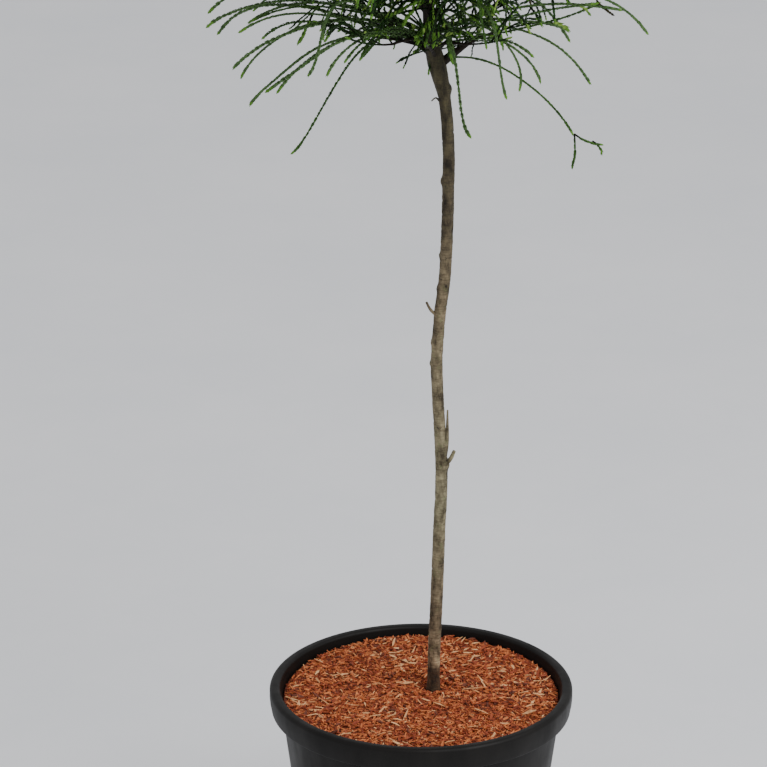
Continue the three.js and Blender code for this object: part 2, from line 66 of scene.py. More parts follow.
POT_HEIGHT = 0.248
RIM_RADIUS = 0.1465
LIP_WIDTH = 0.0105
SKIRT_HEIGHT = 0.024
SHELL = 0.0024
FOOT_RADIUS = 0.105
FOOT_CHAMFER = 0.005
FLOOR_THICK = 0.003
SIDE_TOP = 0.1379
UNDERSIDE_LIFT = 0.0027
UNDERSIDE_STEP = (0.06, 0.0625)
SKIRT_ROOF = 0.007
SKIRT_EDGE = 0.0016
LIP_OUT, LIP_IN = 0.0042, 0.0035
BULGE = [(0.0014, 0.004), (0.0004, 0.009), (0, 0.014)]
DRAIN_HOLES = 6
DRAIN_CIRCLE = 0.084
DRAIN_RADIUS = 0.007
DRAIN_CUT = (-0.004, 0.008)
DRAIN_SIDES = 20
POT_SIDES = 128


def srgb(red, green, blue):
    """A colour of 0 to 255 channels as linear light, by the sRGB curve: a straight foot, then a power."""
    linear = lambda c: ((c / 255 + 0.055) / 1.055) ** 2.4 if c > 10 else c / 255 / 12.92
    return linear(red), linear(green), linear(blue), 1.0


def mesh_piece(name, points, faces, smooth=True):
    """A mesh object from an array of points and an array of faces, all with the same number of corners."""
    points = np.asarray(points, np.float32)
    faces = np.asarray(faces, np.int32)
    sides = faces.shape[1]
    mesh = bpy.data.meshes.new(name)
    mesh.vertices.add(len(points))
    mesh.vertices.foreach_set("co", points.ravel())
    mesh.loops.add(faces.size)
    mesh.loops.foreach_set("vertex_index", faces.ravel())
    mesh.polygons.add(len(faces))
    mesh.polygons.foreach_set("loop_start", np.arange(0, faces.size, sides, dtype=np.int32))
    mesh.polygons.foreach_set("use_smooth", np.full(len(faces), smooth))
    mesh.update(calc_edges=True)
    made = bpy.data.objects.new(name, mesh)
    bpy.context.scene.collection.objects.link(made)
    return made


def tube_faces(rings, sides, closed_rings=False):
    """Quads of a grid of rings by sides that wraps round, as corner numbers counted ring by ring."""
    ring = np.arange(rings if closed_rings else rings - 1)[:, None]
    low, high = ring * sides, (ring + 1) % rings * sides
    side = np.arange(sides)[None, :]
    after = (side + 1) % sides
    return np.stack([low + side, low + after, high + after, high + side], -1).reshape(-1, 4)


def triangles(quads):
    """Each quad as two triangles: all the first halves, then all the second."""
    return np.concatenate([quads[:, [0, 1, 2]], quads[:, [0, 2, 3]]])


def capped_faces(rings, sides):
    """Triangles of a tube whose ends close on the two points that follow its rings."""
    side = np.arange(sides)
    after = (side + 1) % sides
    end = (rings - 1) * sides
    low = np.stack([np.full(sides, rings * sides), after, side], -1)
    high = np.stack([np.full(sides, rings * sides + 1), end + side, end + after], -1)
    return np.concatenate([triangles(tube_faces(rings, sides)), low, high])


def joined(parts):
    """Several point and face arrays as one pair."""
    shift = np.cumsum([0] + [len(points) for points, _ in parts[:-1]])
    return np.concatenate([p for p, _ in parts]), np.concatenate([f + s for (_, f), s in zip(parts, shift)])


def arc(centre, radius, start, end, steps):
    """Points of a circle's arc between two angles in degrees, as an array of (across, up)."""
    angle = np.radians(np.linspace(start, end, steps))
    return np.stack([centre[0] + radius * np.cos(angle), centre[1] + radius * np.sin(angle)], -1)


def grain_group():
    """Node group: stretched noise on Object coordinates as a two-colour mix, a roughness and a height."""
    group = bpy.data.node_groups.new("grain", "ShaderNodeTree")
    face = group.interface
    for socket, kind, value in (
        ("Scale", "NodeSocketFloat", 100.0),
        ("Stretch", "NodeSocketVector", (1, 1, 1)),
        ("Dark", "NodeSocketColor", (0, 0, 0, 1)),
        ("Light", "NodeSocketColor", (1, 1, 1, 1)),
        ("From", "NodeSocketFloat", 0.35),
        ("To", "NodeSocketFloat", 0.65),
        ("Smooth", "NodeSocketFloat", 0.4),
        ("Rough", "NodeSocketFloat", 0.6),
    ):
        face.new_socket(socket, in_out="INPUT", socket_type=kind).default_value = value
    for socket, kind in (("Color", "Color"), ("Roughness", "Float"), ("Height", "Float")):
        face.new_socket(socket, in_out="OUTPUT", socket_type=f"NodeSocket{kind}")
    made, link = group.nodes, group.links.new
    given, result = made.new("NodeGroupInput"), made.new("NodeGroupOutput")
    place, stretch = made.new("ShaderNodeTexCoord"), made.new("ShaderNodeMapping")
    noise, share = made.new("ShaderNodeTexNoise"), made.new("ShaderNodeMapRange")
    colour, rough = made.new("ShaderNodeMix"), made.new("ShaderNodeMapRange")
    noise.inputs["Detail"].default_value = 5
    noise.inputs["Roughness"].default_value = 0.62
    colour.data_type = "RGBA"
    link(place.outputs["Object"], stretch.inputs["Vector"])
    link(given.outputs["Stretch"], stretch.inputs["Scale"])
    link(stretch.outputs["Vector"], noise.inputs["Vector"])
    link(given.outputs["Scale"], noise.inputs["Scale"])
    link(noise.outputs["Fac"], share.inputs["Value"])
    link(given.outputs["From"], share.inputs["From Min"])
    link(given.outputs["To"], share.inputs["From Max"])
    link(share.outputs["Result"], colour.inputs["Factor"])
    link(given.outputs["Dark"], colour.inputs["A"])
    link(given.outputs["Light"], colour.inputs["B"])
    link(share.outputs["Result"], rough.inputs["Value"])
    link(given.outputs["Rough"], rough.inputs["To Min"])
    link(given.outputs["Smooth"], rough.inputs["To Max"])
    link(colour.outputs["Result"], result.inputs["Color"])
    link(rough.outputs["Result"], result.inputs["Roughness"])
    link(share.outputs["Result"], result.inputs["Height"])
    return group


GRAIN = grain_group()


def grained(
    name, dark, light, scale,
    stretch=(1, 1, 1), span=(0.35, 0.65), rough=(0.5, 0.7), bump=0.3, depth=0.001, gloss=0.5,
):
    """A material whose colour, roughness and bump all follow one layer of the grain group."""
    made = bpy.data.materials.new(name)
    made.use_nodes = True
    tree = made.node_tree
    shader = tree.nodes["Principled BSDF"]
    shader.inputs["Specular IOR Level"].default_value = gloss
    grain = tree.nodes.new("ShaderNodeGroup")
    grain.node_tree = GRAIN
    height = tree.nodes.new("ShaderNodeBump")
    for socket, value in (
        ("Scale", scale),
        ("Stretch", stretch),
        ("Dark", dark),
        ("Light", light),
        ("From", span[0]),
        ("To", span[1]),
        ("Smooth", rough[0]),
        ("Rough", rough[1]),
    ):
        grain.inputs[socket].default_value = value
    height.inputs["Strength"].default_value = bump
    height.inputs["Distance"].default_value = depth
    tree.links.new(grain.outputs["Color"], shader.inputs["Base Color"])
    tree.links.new(grain.outputs["Roughness"], shader.inputs["Roughness"])
    tree.links.new(grain.outputs["Height"], height.inputs["Height"])
    tree.links.new(height.outputs["Normal"], shader.inputs["Normal"])
    return made


def pot_profile():
    """The shell's closed outline, from the middle of the underside out, up, over the rim and down inside."""
    side = lambda height: FOOT_RADIUS + (SIDE_TOP - FOOT_RADIUS) * height / POT_HEIGHT
    top, skirt, roof = POT_HEIGHT, POT_HEIGHT - SKIRT_HEIGHT, POT_HEIGHT - SKIRT_ROOF
    rim, inner, floor_edge = RIM_RADIUS, RIM_RADIUS - LIP_WIDTH, FOOT_RADIUS - SHELL
    step_in, step_out = UNDERSIDE_STEP
    rows = [
        [(0, UNDERSIDE_LIFT), (step_in, UNDERSIDE_LIFT), (step_out, 0), (FOOT_RADIUS - FOOT_CHAMFER, 0)],
        [(FOOT_RADIUS - 0.0012, 0.0030), (side(FOOT_CHAMFER), FOOT_CHAMFER)],
        [(side(h), h) for h in np.linspace(0.02, skirt + 0.004, 14)],
        [(side(skirt) + 0.0008, roof), (rim - 0.0058, roof), (rim - 0.0042, skirt + 0.004)],
        arc((rim - 0.0034, skirt + SKIRT_EDGE), SKIRT_EDGE, 200, 350, 7),
        [(rim - back, skirt + up) for back, up in BULGE],
        arc((rim - LIP_OUT, top - LIP_OUT), LIP_OUT, 0, 90, 8),
        arc((inner + LIP_IN, top - LIP_IN), LIP_IN, 90, 180, 7),
        [(side(h) - SHELL, h) for h in np.linspace(top - 0.012, 0.012, 12)],
        [(floor_edge - 0.004, FLOOR_THICK + 0.0015), (floor_edge - 0.008, FLOOR_THICK), (0, FLOOR_THICK)],
    ]
    return np.concatenate([np.asarray(row, float) for row in rows])


def turned(profile, sides):
    """Points and triangles of an outline turned about +Z; its first and last points are on the axis."""
    turn = np.linspace(0, 2 * np.pi, sides, endpoint=False)
    ring = profile[1:-1]
    across = ring[:, 0, None] * np.cos(turn), ring[:, 0, None] * np.sin(turn)
    body = np.stack([across[0], across[1], np.repeat(ring[:, 1, None], sides, 1)], -1).reshape(-1, 3)
    poles = [[0, 0, profile[0, 1]], [0, 0, profile[-1, 1]]]
    return np.concatenate([body, poles]), capped_faces(len(ring), sides)


def drilled(piece):
    """The piece with a circle of drain holes cut through it by an applied Boolean."""
    low, high = DRAIN_CUT
    bit = np.array([[0, low], [DRAIN_RADIUS, low], [DRAIN_RADIUS, high], [0, high]])
    points, faces = turned(bit, DRAIN_SIDES)
    turns = 2 * np.pi * (np.arange(DRAIN_HOLES) + 0.5) / DRAIN_HOLES
    middles = np.stack([np.cos(turns), np.sin(turns), 0 * turns], -1) * DRAIN_CIRCLE
    drill = mesh_piece("drill", *joined([(points + middle, faces) for middle in middles]), smooth=False)
    cut = piece.modifiers.new("drain", "BOOLEAN")
    cut.object, cut.operation, cut.solver = drill, "DIFFERENCE", "EXACT"
    done = bpy.data.meshes.new_from_object(piece.evaluated_get(bpy.context.evaluated_depsgraph_get()))
    piece.modifiers.clear()
    piece.data = done
    bpy.data.objects.remove(drill)
    return piece


pot = mesh_piece("pot_shell", *turned(pot_profile(), POT_SIDES))
drilled(pot)
pot.data.set_sharp_from_angle(angle=math.radians(50))
pot.data.materials.append(
    grained(
        "pot_plastic", srgb(11, 9, 7), srgb(19, 16, 13), 38,
        stretch=(1, 1, 0.35), span=(0.3, 0.7), rough=(0.44, 0.6), bump=0.10, depth=0.0008, gloss=0.2,
    )
)
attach(pot, "root")
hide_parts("pot")

# Potting mix.
# Dark, crumbly compost packed to the pot's side under the bark. It shows only through the drain holes.

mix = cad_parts["potting_mix"]
mix.data.materials.clear()
mix.data.materials.append(
    grained("potting_mix", srgb(26, 19, 14), srgb(70, 52, 38), 240, rough=(0.85, 1.0), bump=0.9, depth=0.002)
)

# Bark mulch.
# Shredded orange-red bark: a lumpy bed that dips at the stem, strewn with crumbs, curled fibres, flat
# chips and pale splinters that lie every way up.

STEM_FOOT = np.array([0.012, 0.015])
BED_TOP = 0.236
BED_FLOOR = 0.2125
BED_RADIUS = 0.1328
BED_HOLE = 0.0085
BED_RINGS = 96
BED_TURNS = 240
BED_MOUND = 0.003
BED_BANK = 0.0034
DIP_DEPTH, DIP_FROM, DIP_WIDTH = 0.004, 0.006, 0.016
LUMP_HEIGHT, LUMP_LENGTHS = 0.0016, [0.019, 0.013]
CRUMB_HEIGHT, CRUMB_LENGTHS = 0.0008, [0.006, 0.004]
CHIP_STATIONS = 3
CHIP_TAPER = [1, 0.85, 0.35]
CHIP_BIAS, CHIP_JAG = 1.6, (0.75, 1.25)
CHIP_CLEAR = 0.0075
CHIP_PITCH, CHIP_ROLL = 0.22, 0.5
CHIP_BED = (-0.0006, 0.0022)
CHIP_SUNK = 0.0016
WAVES, WAVE_GAIN = 12, 2.2


def ripple(points, lengths, seed):
    """Smooth noise of about -1 to 1: the mean of twelve sine waves per wave length, in seeded directions."""
    rng = np.random.default_rng(seed)
    total = np.zeros(points.shape[:-1])
    for length in lengths:
        way = rng.normal(size=(WAVES, points.shape[-1]))
        way /= np.linalg.norm(way, axis=1, keepdims=True)
        wave = points @ (way.T * (2 * np.pi / length)) + rng.uniform(0, 2 * np.pi, WAVES)
        total += np.sin(wave).sum(-1) / WAVES * WAVE_GAIN
    return total / len(lengths)


def bed_height(place):
    """Height of the bark's top: a mound, a bank at the back, a dip round the stem, lumps and crumbs."""
    radius = np.linalg.norm(place, axis=-1)
    stem = np.linalg.norm(place - STEM_FOOT, axis=-1)
    mound = BED_MOUND * (1 - (radius / BED_RADIUS) ** 2)
    dip = DIP_DEPTH * np.exp(-(((stem - DIP_FROM) / DIP_WIDTH) ** 2))
    bank = BED_BANK * np.clip(place[..., 1] / BED_RADIUS, 0, 1) ** 1.5
    lumps = LUMP_HEIGHT * ripple(place, LUMP_LENGTHS, 3) + CRUMB_HEIGHT * ripple(place, CRUMB_LENGTHS, 4)
    return BED_TOP + mound - dip + bank + lumps


def bed_mesh():
    """A closed ring of bark about the stem: top and bottom grids that run from the hole out to the side."""
    share = np.linspace(0, 1, BED_RINGS)[:, None]
    turn = np.linspace(0, 2 * np.pi, BED_TURNS, endpoint=False)[None, :]
    ray = np.stack([np.cos(turn), np.sin(turn)], -1)
    along = (ray @ STEM_FOOT)[..., None]
    reach = -along + np.sqrt(along**2 - STEM_FOOT @ STEM_FOOT + BED_RADIUS**2)
    place = STEM_FOOT + ray * (BED_HOLE + (reach - BED_HOLE) * share[..., None])
    top = np.concatenate([place, bed_height(place)[..., None]], -1)
    edge = place[[-1, 0]]
    low = np.concatenate([edge, np.full(edge.shape[:2] + (1,), BED_FLOOR)], -1)
    points = np.concatenate([top, low]).reshape(-1, 3)
    return points, tube_faces(BED_RINGS + 2, BED_TURNS, closed_rings=True)


def between(span, share):
    """The value at a share of the way from a span's low end to its high end."""
    return span[0] + (span[1] - span[0]) * share


def rotated(first, second, angle):
    """Two coordinates of every chip's points, turned by the chip's angle."""
    cos, sin = np.cos(angle)[:, None, None], np.sin(angle)[:, None, None]
    return first * cos - second * sin, first * sin + second * cos


def strewn(count, rng, length, width, thick, curl):
    """Closed curled slivers lying on the bark, as points and triangles.

    Each is a bent strip of stations by four corners, tapered at both ends, with its own place, heading,
    pitch and roll; places stay clear of the stem and inside the pot.
    """
    radius = np.sqrt(rng.uniform(0, 1, count * 2)) * (BED_RADIUS - 0.002)
    turn = rng.uniform(0, 2 * np.pi, count * 2)
    place = np.stack([radius * np.cos(turn), radius * np.sin(turn)], -1)
    size = rng.uniform(0, 1, count * 2) ** CHIP_BIAS
    reach = between(length, size)
    clear = np.linalg.norm(place - STEM_FOOT, axis=-1) > CHIP_CLEAR + reach / 2
    inside = radius + reach / 2 < BED_RADIUS + 0.001
    keep = np.flatnonzero(clear & inside)[:count]
    place, size, reach = place[keep], size[keep], reach[keep]
    some = len(keep)
    wide = rng.uniform(*width, some) * (0.6 + 0.6 * size)
    tall = rng.uniform(*thick, some)
    heading = rng.uniform(0, 2 * np.pi, some)
    pitch = rng.normal(0, CHIP_PITCH, some)
    roll = rng.normal(0, CHIP_ROLL, some)
    bend = rng.normal(0, curl, some) * reach
    sweep = rng.normal(0, curl, some) * reach
    station = np.linspace(-0.5, 0.5, CHIP_STATIONS)
    taper = np.interp(np.abs(station), [0, 0.3, 0.5], CHIP_TAPER)
    corner = np.array([[-0.5, -0.5], [0.5, -0.5], [0.5, 0.5], [-0.5, 0.5]])
    jag = rng.uniform(*CHIP_JAG, (some, CHIP_STATIONS, 4))
    along = reach[:, None, None] * station[None, :, None] * np.ones((1, 1, 4))
    across = wide[:, None, None] * taper[None, :, None] * corner[None, None, :, 0] * jag
    across = across + (sweep[:, None] * (4 * station**2 - 0.5)[None, :])[..., None]
    up = tall[:, None, None] * corner[None, None, :, 1]
    up = up + (bend[:, None] * (4 * station**2 - 0.4)[None, :])[..., None]
    across, up = rotated(across, up, roll)
    along, up = rotated(along, up, pitch)
    x, y = rotated(along, across, heading)
    base = bed_height(place) + rng.uniform(*CHIP_BED, some)
    lift = np.maximum(0, -(up.min((1, 2)) + CHIP_SUNK))
    middle = np.concatenate([place, (base + lift)[:, None]], 1)
    points = np.stack([x, y, up], -1) + middle[:, None, None]
    last = 4 * (CHIP_STATIONS - 1)
    ends = np.array([[0, 3, 2], [0, 2, 1], [last, last + 1, last + 2], [last, last + 2, last + 3]])
    one = np.concatenate([triangles(tube_faces(CHIP_STATIONS, 4)), ends])
    faces = (np.arange(some)[:, None, None] * 4 * CHIP_STATIONS + one[None]).reshape(-1, 3)
    return points.reshape(-1, 3), faces


bed = mesh_piece("mulch_bed", *bed_mesh())
# The bed under the chips is a darker red-brown than they are: bark's own tone, partly painted shade of the
# gaps.
bed.data.materials.append(
    grained(
        "mulch_bed", srgb(80, 25, 6), srgb(158, 70, 27), 260,
        span=(0.3, 0.68), rough=(0.75, 0.95), bump=0.9, depth=0.002,
    )
)
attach(bed, "root")
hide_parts("bark_mulch")

# Each kind of chip: how many, two colours, the spans of length, width and thickness, and the curl.
CHIP_KINDS = {
    "russet": (
        5000, srgb(112, 36, 9), srgb(170, 76, 29),
        (0.0018, 0.0088), (0.0009, 0.0027), (0.0005, 0.0013), 0.06,
    ),
    "orange": (
        5000, srgb(168, 78, 31), srgb(218, 132, 74),
        (0.0018, 0.0095), (0.0008, 0.0026), (0.0005, 0.0012), 0.06,
    ),
    "brown": (
        450, srgb(74, 28, 11), srgb(118, 54, 26),
        (0.003, 0.011), (0.0012, 0.0036), (0.0007, 0.0016), 0.04,
    ),
    "pale": (
        560, srgb(204, 138, 84), srgb(236, 188, 136),
        (0.0025, 0.017), (0.0008, 0.0030), (0.0004, 0.0010), 0.04,
    ),
}
for order, (kind, (count, dark, light, *sizes)) in enumerate(CHIP_KINDS.items()):
    name = f"mulch_{kind}"
    chips = mesh_piece(name, *strewn(count, np.random.default_rng(60 + order), *sizes), smooth=False)
    chips.data.materials.append(grained(name, dark, light, 260, rough=(0.6, 0.85), bump=0.4, depth=0.0006))
    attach(chips, "root")

# Stem.
# The standard's clear stem, cut flat on the bark: rough grey-brown bark with greenish lichen flecks,
# fine cross cracks, knots, four dead shoots and a swollen graft under the head, darker brown above, turning
# near black where painted shade of the head is laid on it.

TRUNK_LINE = np.array([
    [12, 15, 235], [13, 15, 285], [15, 15, 335], [17, 15, 400], [19, 15, 455], [18, 14, 490],
    [15, 13, 545], [14, 13, 580], [17, 13, 627], [21, 14, 660], [24, 15, 745], [24, 15, 790],
    [20, 14, 838], [14, 13, 866], [8, 12, 892], [5, 12, 925], [4, 12, 970], [5, 12, 1040],
]) / 1000
# Heights and radii.
TRUNK_RADII = np.array([
    [235, 7], [249, 6.1], [455, 5.9], [490, 5.6], [838, 5.7],
    [858, 7.6], [872, 8.6], [892, 6.8], [960, 4.2], [1040, 2.5],
]) / 1000
# Heights in millimetres, azimuths and sizes.
KNOTS = [
    (472, 0, 3.6), (576, 185, 2), (597, 170, 2), (651, 190, 2.2),
    (683, 175, 2), (756, 180, 3), (846, 10, 3.2),
]
KNOT_STEEP, KNOT_NARROW, KNOT_OUT = 0.7, 0.9, 0.62
# Each dead shoot: its line in millimetres, then its first and last radius.
DEAD_SHOOTS = [
    ([[20, 14, 474], [23.5, 13, 492], [24.5, 13, 528]], 3.0, 0.8),
    ([[20, 14, 470], [27, 12, 478], [31, 11, 487]], 2.6, 1.6),
    ([[16, 13, 622], [8, 11, 630], [4, 10, 638]], 1.8, 1.1),
    ([[19, 14, 829], [12, 12, 838], [8, 12, 835]], 1.2, 0.6),
]
TRUNK_RINGS = 760
TRUNK_SIDES = 40
SHOOT_RINGS = 40
TWIG_SIDES = 12
CURVE_STEPS = 24
# Three layers of bark relief: how each is stretched, its wave lengths and its share.
PLATES = ([1, 1, 0.32], [0.0070, 0.0045], 0.55)
FLAKES = ([1, 1, 1], [0.0040, 0.0026], 0.35)
CRACKS = ([0.4, 0.4, 1], [0.0045], 1.2)
CRACK_FROM = 0.45
RELIEF_FADE = 4
STEM_ROUGH, SHOOT_ROUGH, BOUGH_ROUGH = 0.00042, 0.00022, 0.00018
# Bark tones by share of the stem's height, multiplied in: a dark foot with a pale line above it, grey above
# that, dimmed at about a tenth of the way up, and a little at half way, by painted shadow of a support cane
# that the scene leaves out, browner toward the graft, then near black above it as painted shade of the head.
STEM_TONES_AND_PAINTED_SHADE = [
    (0.0, srgb(112, 88, 66)), (0.030, srgb(120, 96, 74)), (0.036, srgb(250, 236, 216)),
    (0.05, srgb(226, 212, 192)), (0.11, srgb(178, 167, 149)), (0.24, srgb(194, 198, 178)),
    (0.5, srgb(176, 168, 148)), (0.62, srgb(112, 105, 84)),
    (0.79, srgb(92, 90, 56)), (0.83, srgb(52, 48, 32)),
]


def through(points, samples):
    """A smooth curve through the points, evenly sampled: centripetal Catmull-Rom pieces, ends reflected."""
    points = np.asarray(points, float)
    held = np.concatenate([[2 * points[0] - points[1]], points, [2 * points[-1] - points[-2]]])
    gap = np.linalg.norm(np.diff(held, axis=0), axis=1) ** 0.5
    pieces = []
    for i in range(len(points) - 1):
        before, first, last, after = held[i : i + 4]
        into, over, out_of = gap[i : i + 3]
        step = (last - first) / over
        leave = ((first - before) / into - (last - before) / (into + over) + step) * over
        arrive = (step - (after - first) / (over + out_of) + (after - last) / out_of) * over
        square, cube = 3 * (last - first) - 2 * leave - arrive, 2 * (first - last) + leave + arrive
        t = np.linspace(0, 1, CURVE_STEPS, endpoint=False)[:, None]
        pieces.append(first + leave * t + square * t**2 + cube * t**3)
    line = np.concatenate([*pieces, points[-1:]])
    gone = np.concatenate([[0], np.cumsum(np.linalg.norm(np.diff(line, axis=0), axis=1))])
    want = np.linspace(0, gone[-1], samples)
    return np.stack([np.interp(want, gone, line[:, axis]) for axis in range(3)], -1)


def tube(line, radius, sides):
    """A closed tube round a line, as points and triangles: rings square to it, each at its own radius."""
    line = np.asarray(line, float)
    rings = len(line)
    ahead = np.gradient(line, axis=0)
    ahead /= np.linalg.norm(ahead, axis=1, keepdims=True)
    lean = np.cross(ahead[0], [0.13, 0.99, 0.05])
    across = np.empty_like(line)
    for ring in range(rings):
        lean = lean - ahead[ring] * (lean @ ahead[ring])
        lean /= np.linalg.norm(lean)
        across[ring] = lean
    other = np.cross(ahead, across)
    turn = np.linspace(0, 2 * np.pi, sides, endpoint=False)
    out = across[:, None] * np.cos(turn)[None, :, None] + other[:, None] * np.sin(turn)[None, :, None]
    points = (line[:, None] + out * radius[:, None, None]).reshape(-1, 3)
    return np.concatenate([points, line[[0, -1]]]), capped_faces(rings, sides)


def bark_tube(line, radius, sides, seed, rough, knots=()):
    """A tube with bark relief: plates and flakes less cracks along the limb, and a bulge at every knot."""
    points, faces = tube(line, radius, sides)
    body = points[:-2].reshape(len(line), sides, 3)
    layer = lambda kind, order: ripple(body * kind[0], kind[1], seed + order)
    out = body - line[:, None]
    size = np.linalg.norm(out, axis=-1, keepdims=True)
    out = out / size
    relief = layer(PLATES, 0) * PLATES[2] + layer(FLAKES, 1) * FLAKES[2]
    crack = np.clip(layer(CRACKS, 2) - CRACK_FROM, 0, 1) * CRACKS[2]
    push = rough * (relief - crack)
    for height, azimuth, reach in knots:
        above = (body[..., 2] - height / 1000) / (reach / 1000 / KNOT_STEEP)
        angle = np.arctan2(out[..., 1], out[..., 0]) - math.radians(azimuth)
        angle = (angle + np.pi) % (2 * np.pi) - np.pi
        beside = angle * size[..., 0] / (reach / 1000 / KNOT_NARROW)
        push = push + reach / 1000 * KNOT_OUT * np.exp(-(above**2) - beside**2)
    ring = np.arange(len(line))
    ends = np.minimum(1, np.minimum(ring, ring[::-1]) / RELIEF_FADE)
    points[:-2] = (body + out * (push * ends[:, None])[..., None]).reshape(-1, 3)
    return points, faces


stem_line = through(TRUNK_LINE, TRUNK_RINGS)
stem_radius = np.interp(stem_line[:, 2], TRUNK_RADII[:, 0], TRUNK_RADII[:, 1])
stem_parts = [bark_tube(stem_line, stem_radius, TRUNK_SIDES, 11, STEM_ROUGH, KNOTS)]
for shoot, (line, first, last) in enumerate(DEAD_SHOOTS):
    line = through(np.array(line) / 1000, SHOOT_RINGS)
    radius = np.linspace(first, last, SHOOT_RINGS) / 1000
    stem_parts.append(bark_tube(line, radius, TWIG_SIDES, 20 + shoot, SHOOT_ROUGH))
stem = mesh_piece("stem", *joined(stem_parts))


def stem_material():
    """Mottled grey-brown bark with lichen flecks, times fine cross ticks, spots and a shade by height.

    The shade by height is partly painted shade: a left-out cane's shadow low down and the head's above the
    graft.
    """
    made = grained(
        "stem_bark", srgb(82, 70, 53), srgb(200, 186, 162), 130,
        stretch=(1, 1, 0.5), span=(0.34, 0.66), rough=(0.72, 0.95), bump=0.7, depth=0.0012,
    )
    tree = made.node_tree
    link = tree.links.new
    shader = tree.nodes["Principled BSDF"]

    def layer(*values):
        """The colour of one more layer of grain, from its scale, stretch, two colours and span."""
        grain = tree.nodes.new("ShaderNodeGroup")
        grain.node_tree = GRAIN
        for socket, value in zip(("Scale", "Stretch", "Dark", "Light", "From", "To"), values):
            grain.inputs[socket].default_value = value
        return grain.outputs["Color"]

    def blended(first, second, kind, factor=None):
        """Two colours mixed or multiplied, all over or by a factor."""
        mix = tree.nodes.new("ShaderNodeMix")
        mix.data_type, mix.blend_type = "RGBA", kind
        mix.inputs["Factor"].default_value = 1.0
        if factor:
            link(factor, mix.inputs["Factor"])
        link(first, mix.inputs["A"])
        if isinstance(second, tuple):
            mix.inputs["B"].default_value = second
        else:
            link(second, mix.inputs["B"])
        return mix.outputs["Result"]

    black, white = (0, 0, 0, 1), (1, 1, 1, 1)
    flecks = layer(170, (1, 1, 0.8), black, (0.8, 0.8, 0.8, 1), 0.55, 0.72)
    ticks = layer(430, (0.3, 0.3, 1.7), srgb(200, 194, 188), white, 0.36, 0.54)
    spots = layer(200, (1, 1, 1), white, srgb(104, 92, 80), 0.63, 0.70)
    colour = blended(tree.nodes["Group"].outputs["Color"], srgb(158, 162, 126), "MIX", flecks)
    colour = blended(blended(colour, ticks, "MULTIPLY"), spots, "MULTIPLY")
    place, split = tree.nodes.new("ShaderNodeTexCoord"), tree.nodes.new("ShaderNodeSeparateXYZ")
    span, ramp = tree.nodes.new("ShaderNodeMapRange"), tree.nodes.new("ShaderNodeValToRGB")
    span.inputs["From Min"].default_value = TRUNK_LINE[0, 2]
    span.inputs["From Max"].default_value = TRUNK_LINE[-1, 2]
    while len(ramp.color_ramp.elements) < len(STEM_TONES_AND_PAINTED_SHADE):
        ramp.color_ramp.elements.new(0.5)
    for element, (at, shade) in zip(ramp.color_ramp.elements, STEM_TONES_AND_PAINTED_SHADE):
        element.position, element.color = at, shade
    link(place.outputs["Object"], split.inputs["Vector"])
    link(split.outputs["Z"], span.inputs["Value"])
    link(span.outputs["Result"], ramp.inputs["Fac"])
    link(blended(colour, ramp.outputs["Color"], "MULTIPLY"), shader.inputs["Base Color"])
    return made


stem.data.materials.append(stem_material())
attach(stem, "root")
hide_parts("trunk")

# Boughs.
# The limbs inside the head, each one tapering from the stem, and the mass's own woody stem beyond it:
# smooth brown young bark with fine rings, darkened near black by painted shade of the head. The graft's
# second leader is the thick one on the right.

CROWN_AXIS = np.array([0.005, 0.012])
# Each tier: its masses and their turn and seed, a mass's whips with the reach, height and arch of their tips
# and middles, the bough from (lowest, highest) root to a tip's reach and height, and the mass's own stem to
# its end, from a height on the main stem where there is no bough. Lengths are in millimetres. Thin is the
# share of low whips that stay, rise lifts the boughs in front, and a domed tier's tips sink outward. Of the
# hem only the two masses behind the stem follow the rule. The whips seen in the photo stand for the others.
TIERS = {
    "hem": dict(
        masses=6, turn=-2, seed=12, whips=4, reach=(90, 135), tip=(792, 835), arch=(14, 26),
        stem=(882, 40, 886), only=(1, 2),
    ),
    "skirt": dict(
        masses=8, turn=-0.6, seed=28, whips=36, reach=(70, 205), tip=(842, 915), arch=(8, 28),
        bough=(868, 900, 46, 896), stem=(104, 911), thin=0.42, rise=10,
    ),
    "middle": dict(
        masses=7, turn=20.6, seed=37, whips=58, reach=(70, 212), tip=(905, 1010), arch=(12, 40),
        bough=(911, 946, 40, 950), stem=(98, 970), thin=0.34,
    ),
    "upper": dict(
        masses=5, turn=50, seed=41, whips=84, reach=(60, 196), tip=(980, 1095), arch=(12, 40),
        bough=(953, 985, 28, 1006), stem=(66, 1052),
    ),
    "crest": dict(
        masses=1, turn=0, seed=53, whips=150, reach=(30, 160), tip=(1080, 1165), arch=(12, 46),
        stem=(1040, 3, 1078), domed=True,
    ),
}
BOUGH_RADII = {"skirt": (1.8, 1.2), "middle": (2.4, 1.6), "upper": (2.6, 1.8), "crest": (2.5, 1.0)}
BOUGH_END = 0.6
LEADER_RADII = [(0, 4.6), (0.3, 3.8), (0.5, 2.2), (0.7, 1.5), (1, 0.8)]
BOUGH_SAMPLES = 26
STEM_SAMPLES = 12
WOODY_PART = 36
BOUGH_ARCH = 0.08


def around(azimuth, reach, height):
    """Points about the crown's axis, from azimuths in degrees and reaches and heights in millimetres."""
    turn, reach, height = np.radians(azimuth), np.asarray(reach) / 1000, np.asarray(height) / 1000
    across, deep = CROWN_AXIS[0] + reach * np.cos(turn), CROWN_AXIS[1] + reach * np.sin(turn)
    return np.stack(np.broadcast_arrays(across, deep, height), -1)


def stem_at(height):
    """The middle of the main stem at a height in millimetres."""
    return np.array([np.interp(height / 1000, stem_line[:, 2], stem_line[:, axis]) for axis in range(3)])


def bent(start, middle, end, samples):
    """Samples along a quadratic Bezier curve."""
    t = np.linspace(0, 1, samples)[:, None]
    return (1 - t) ** 2 * start + 2 * t * (1 - t) * middle + t**2 * end


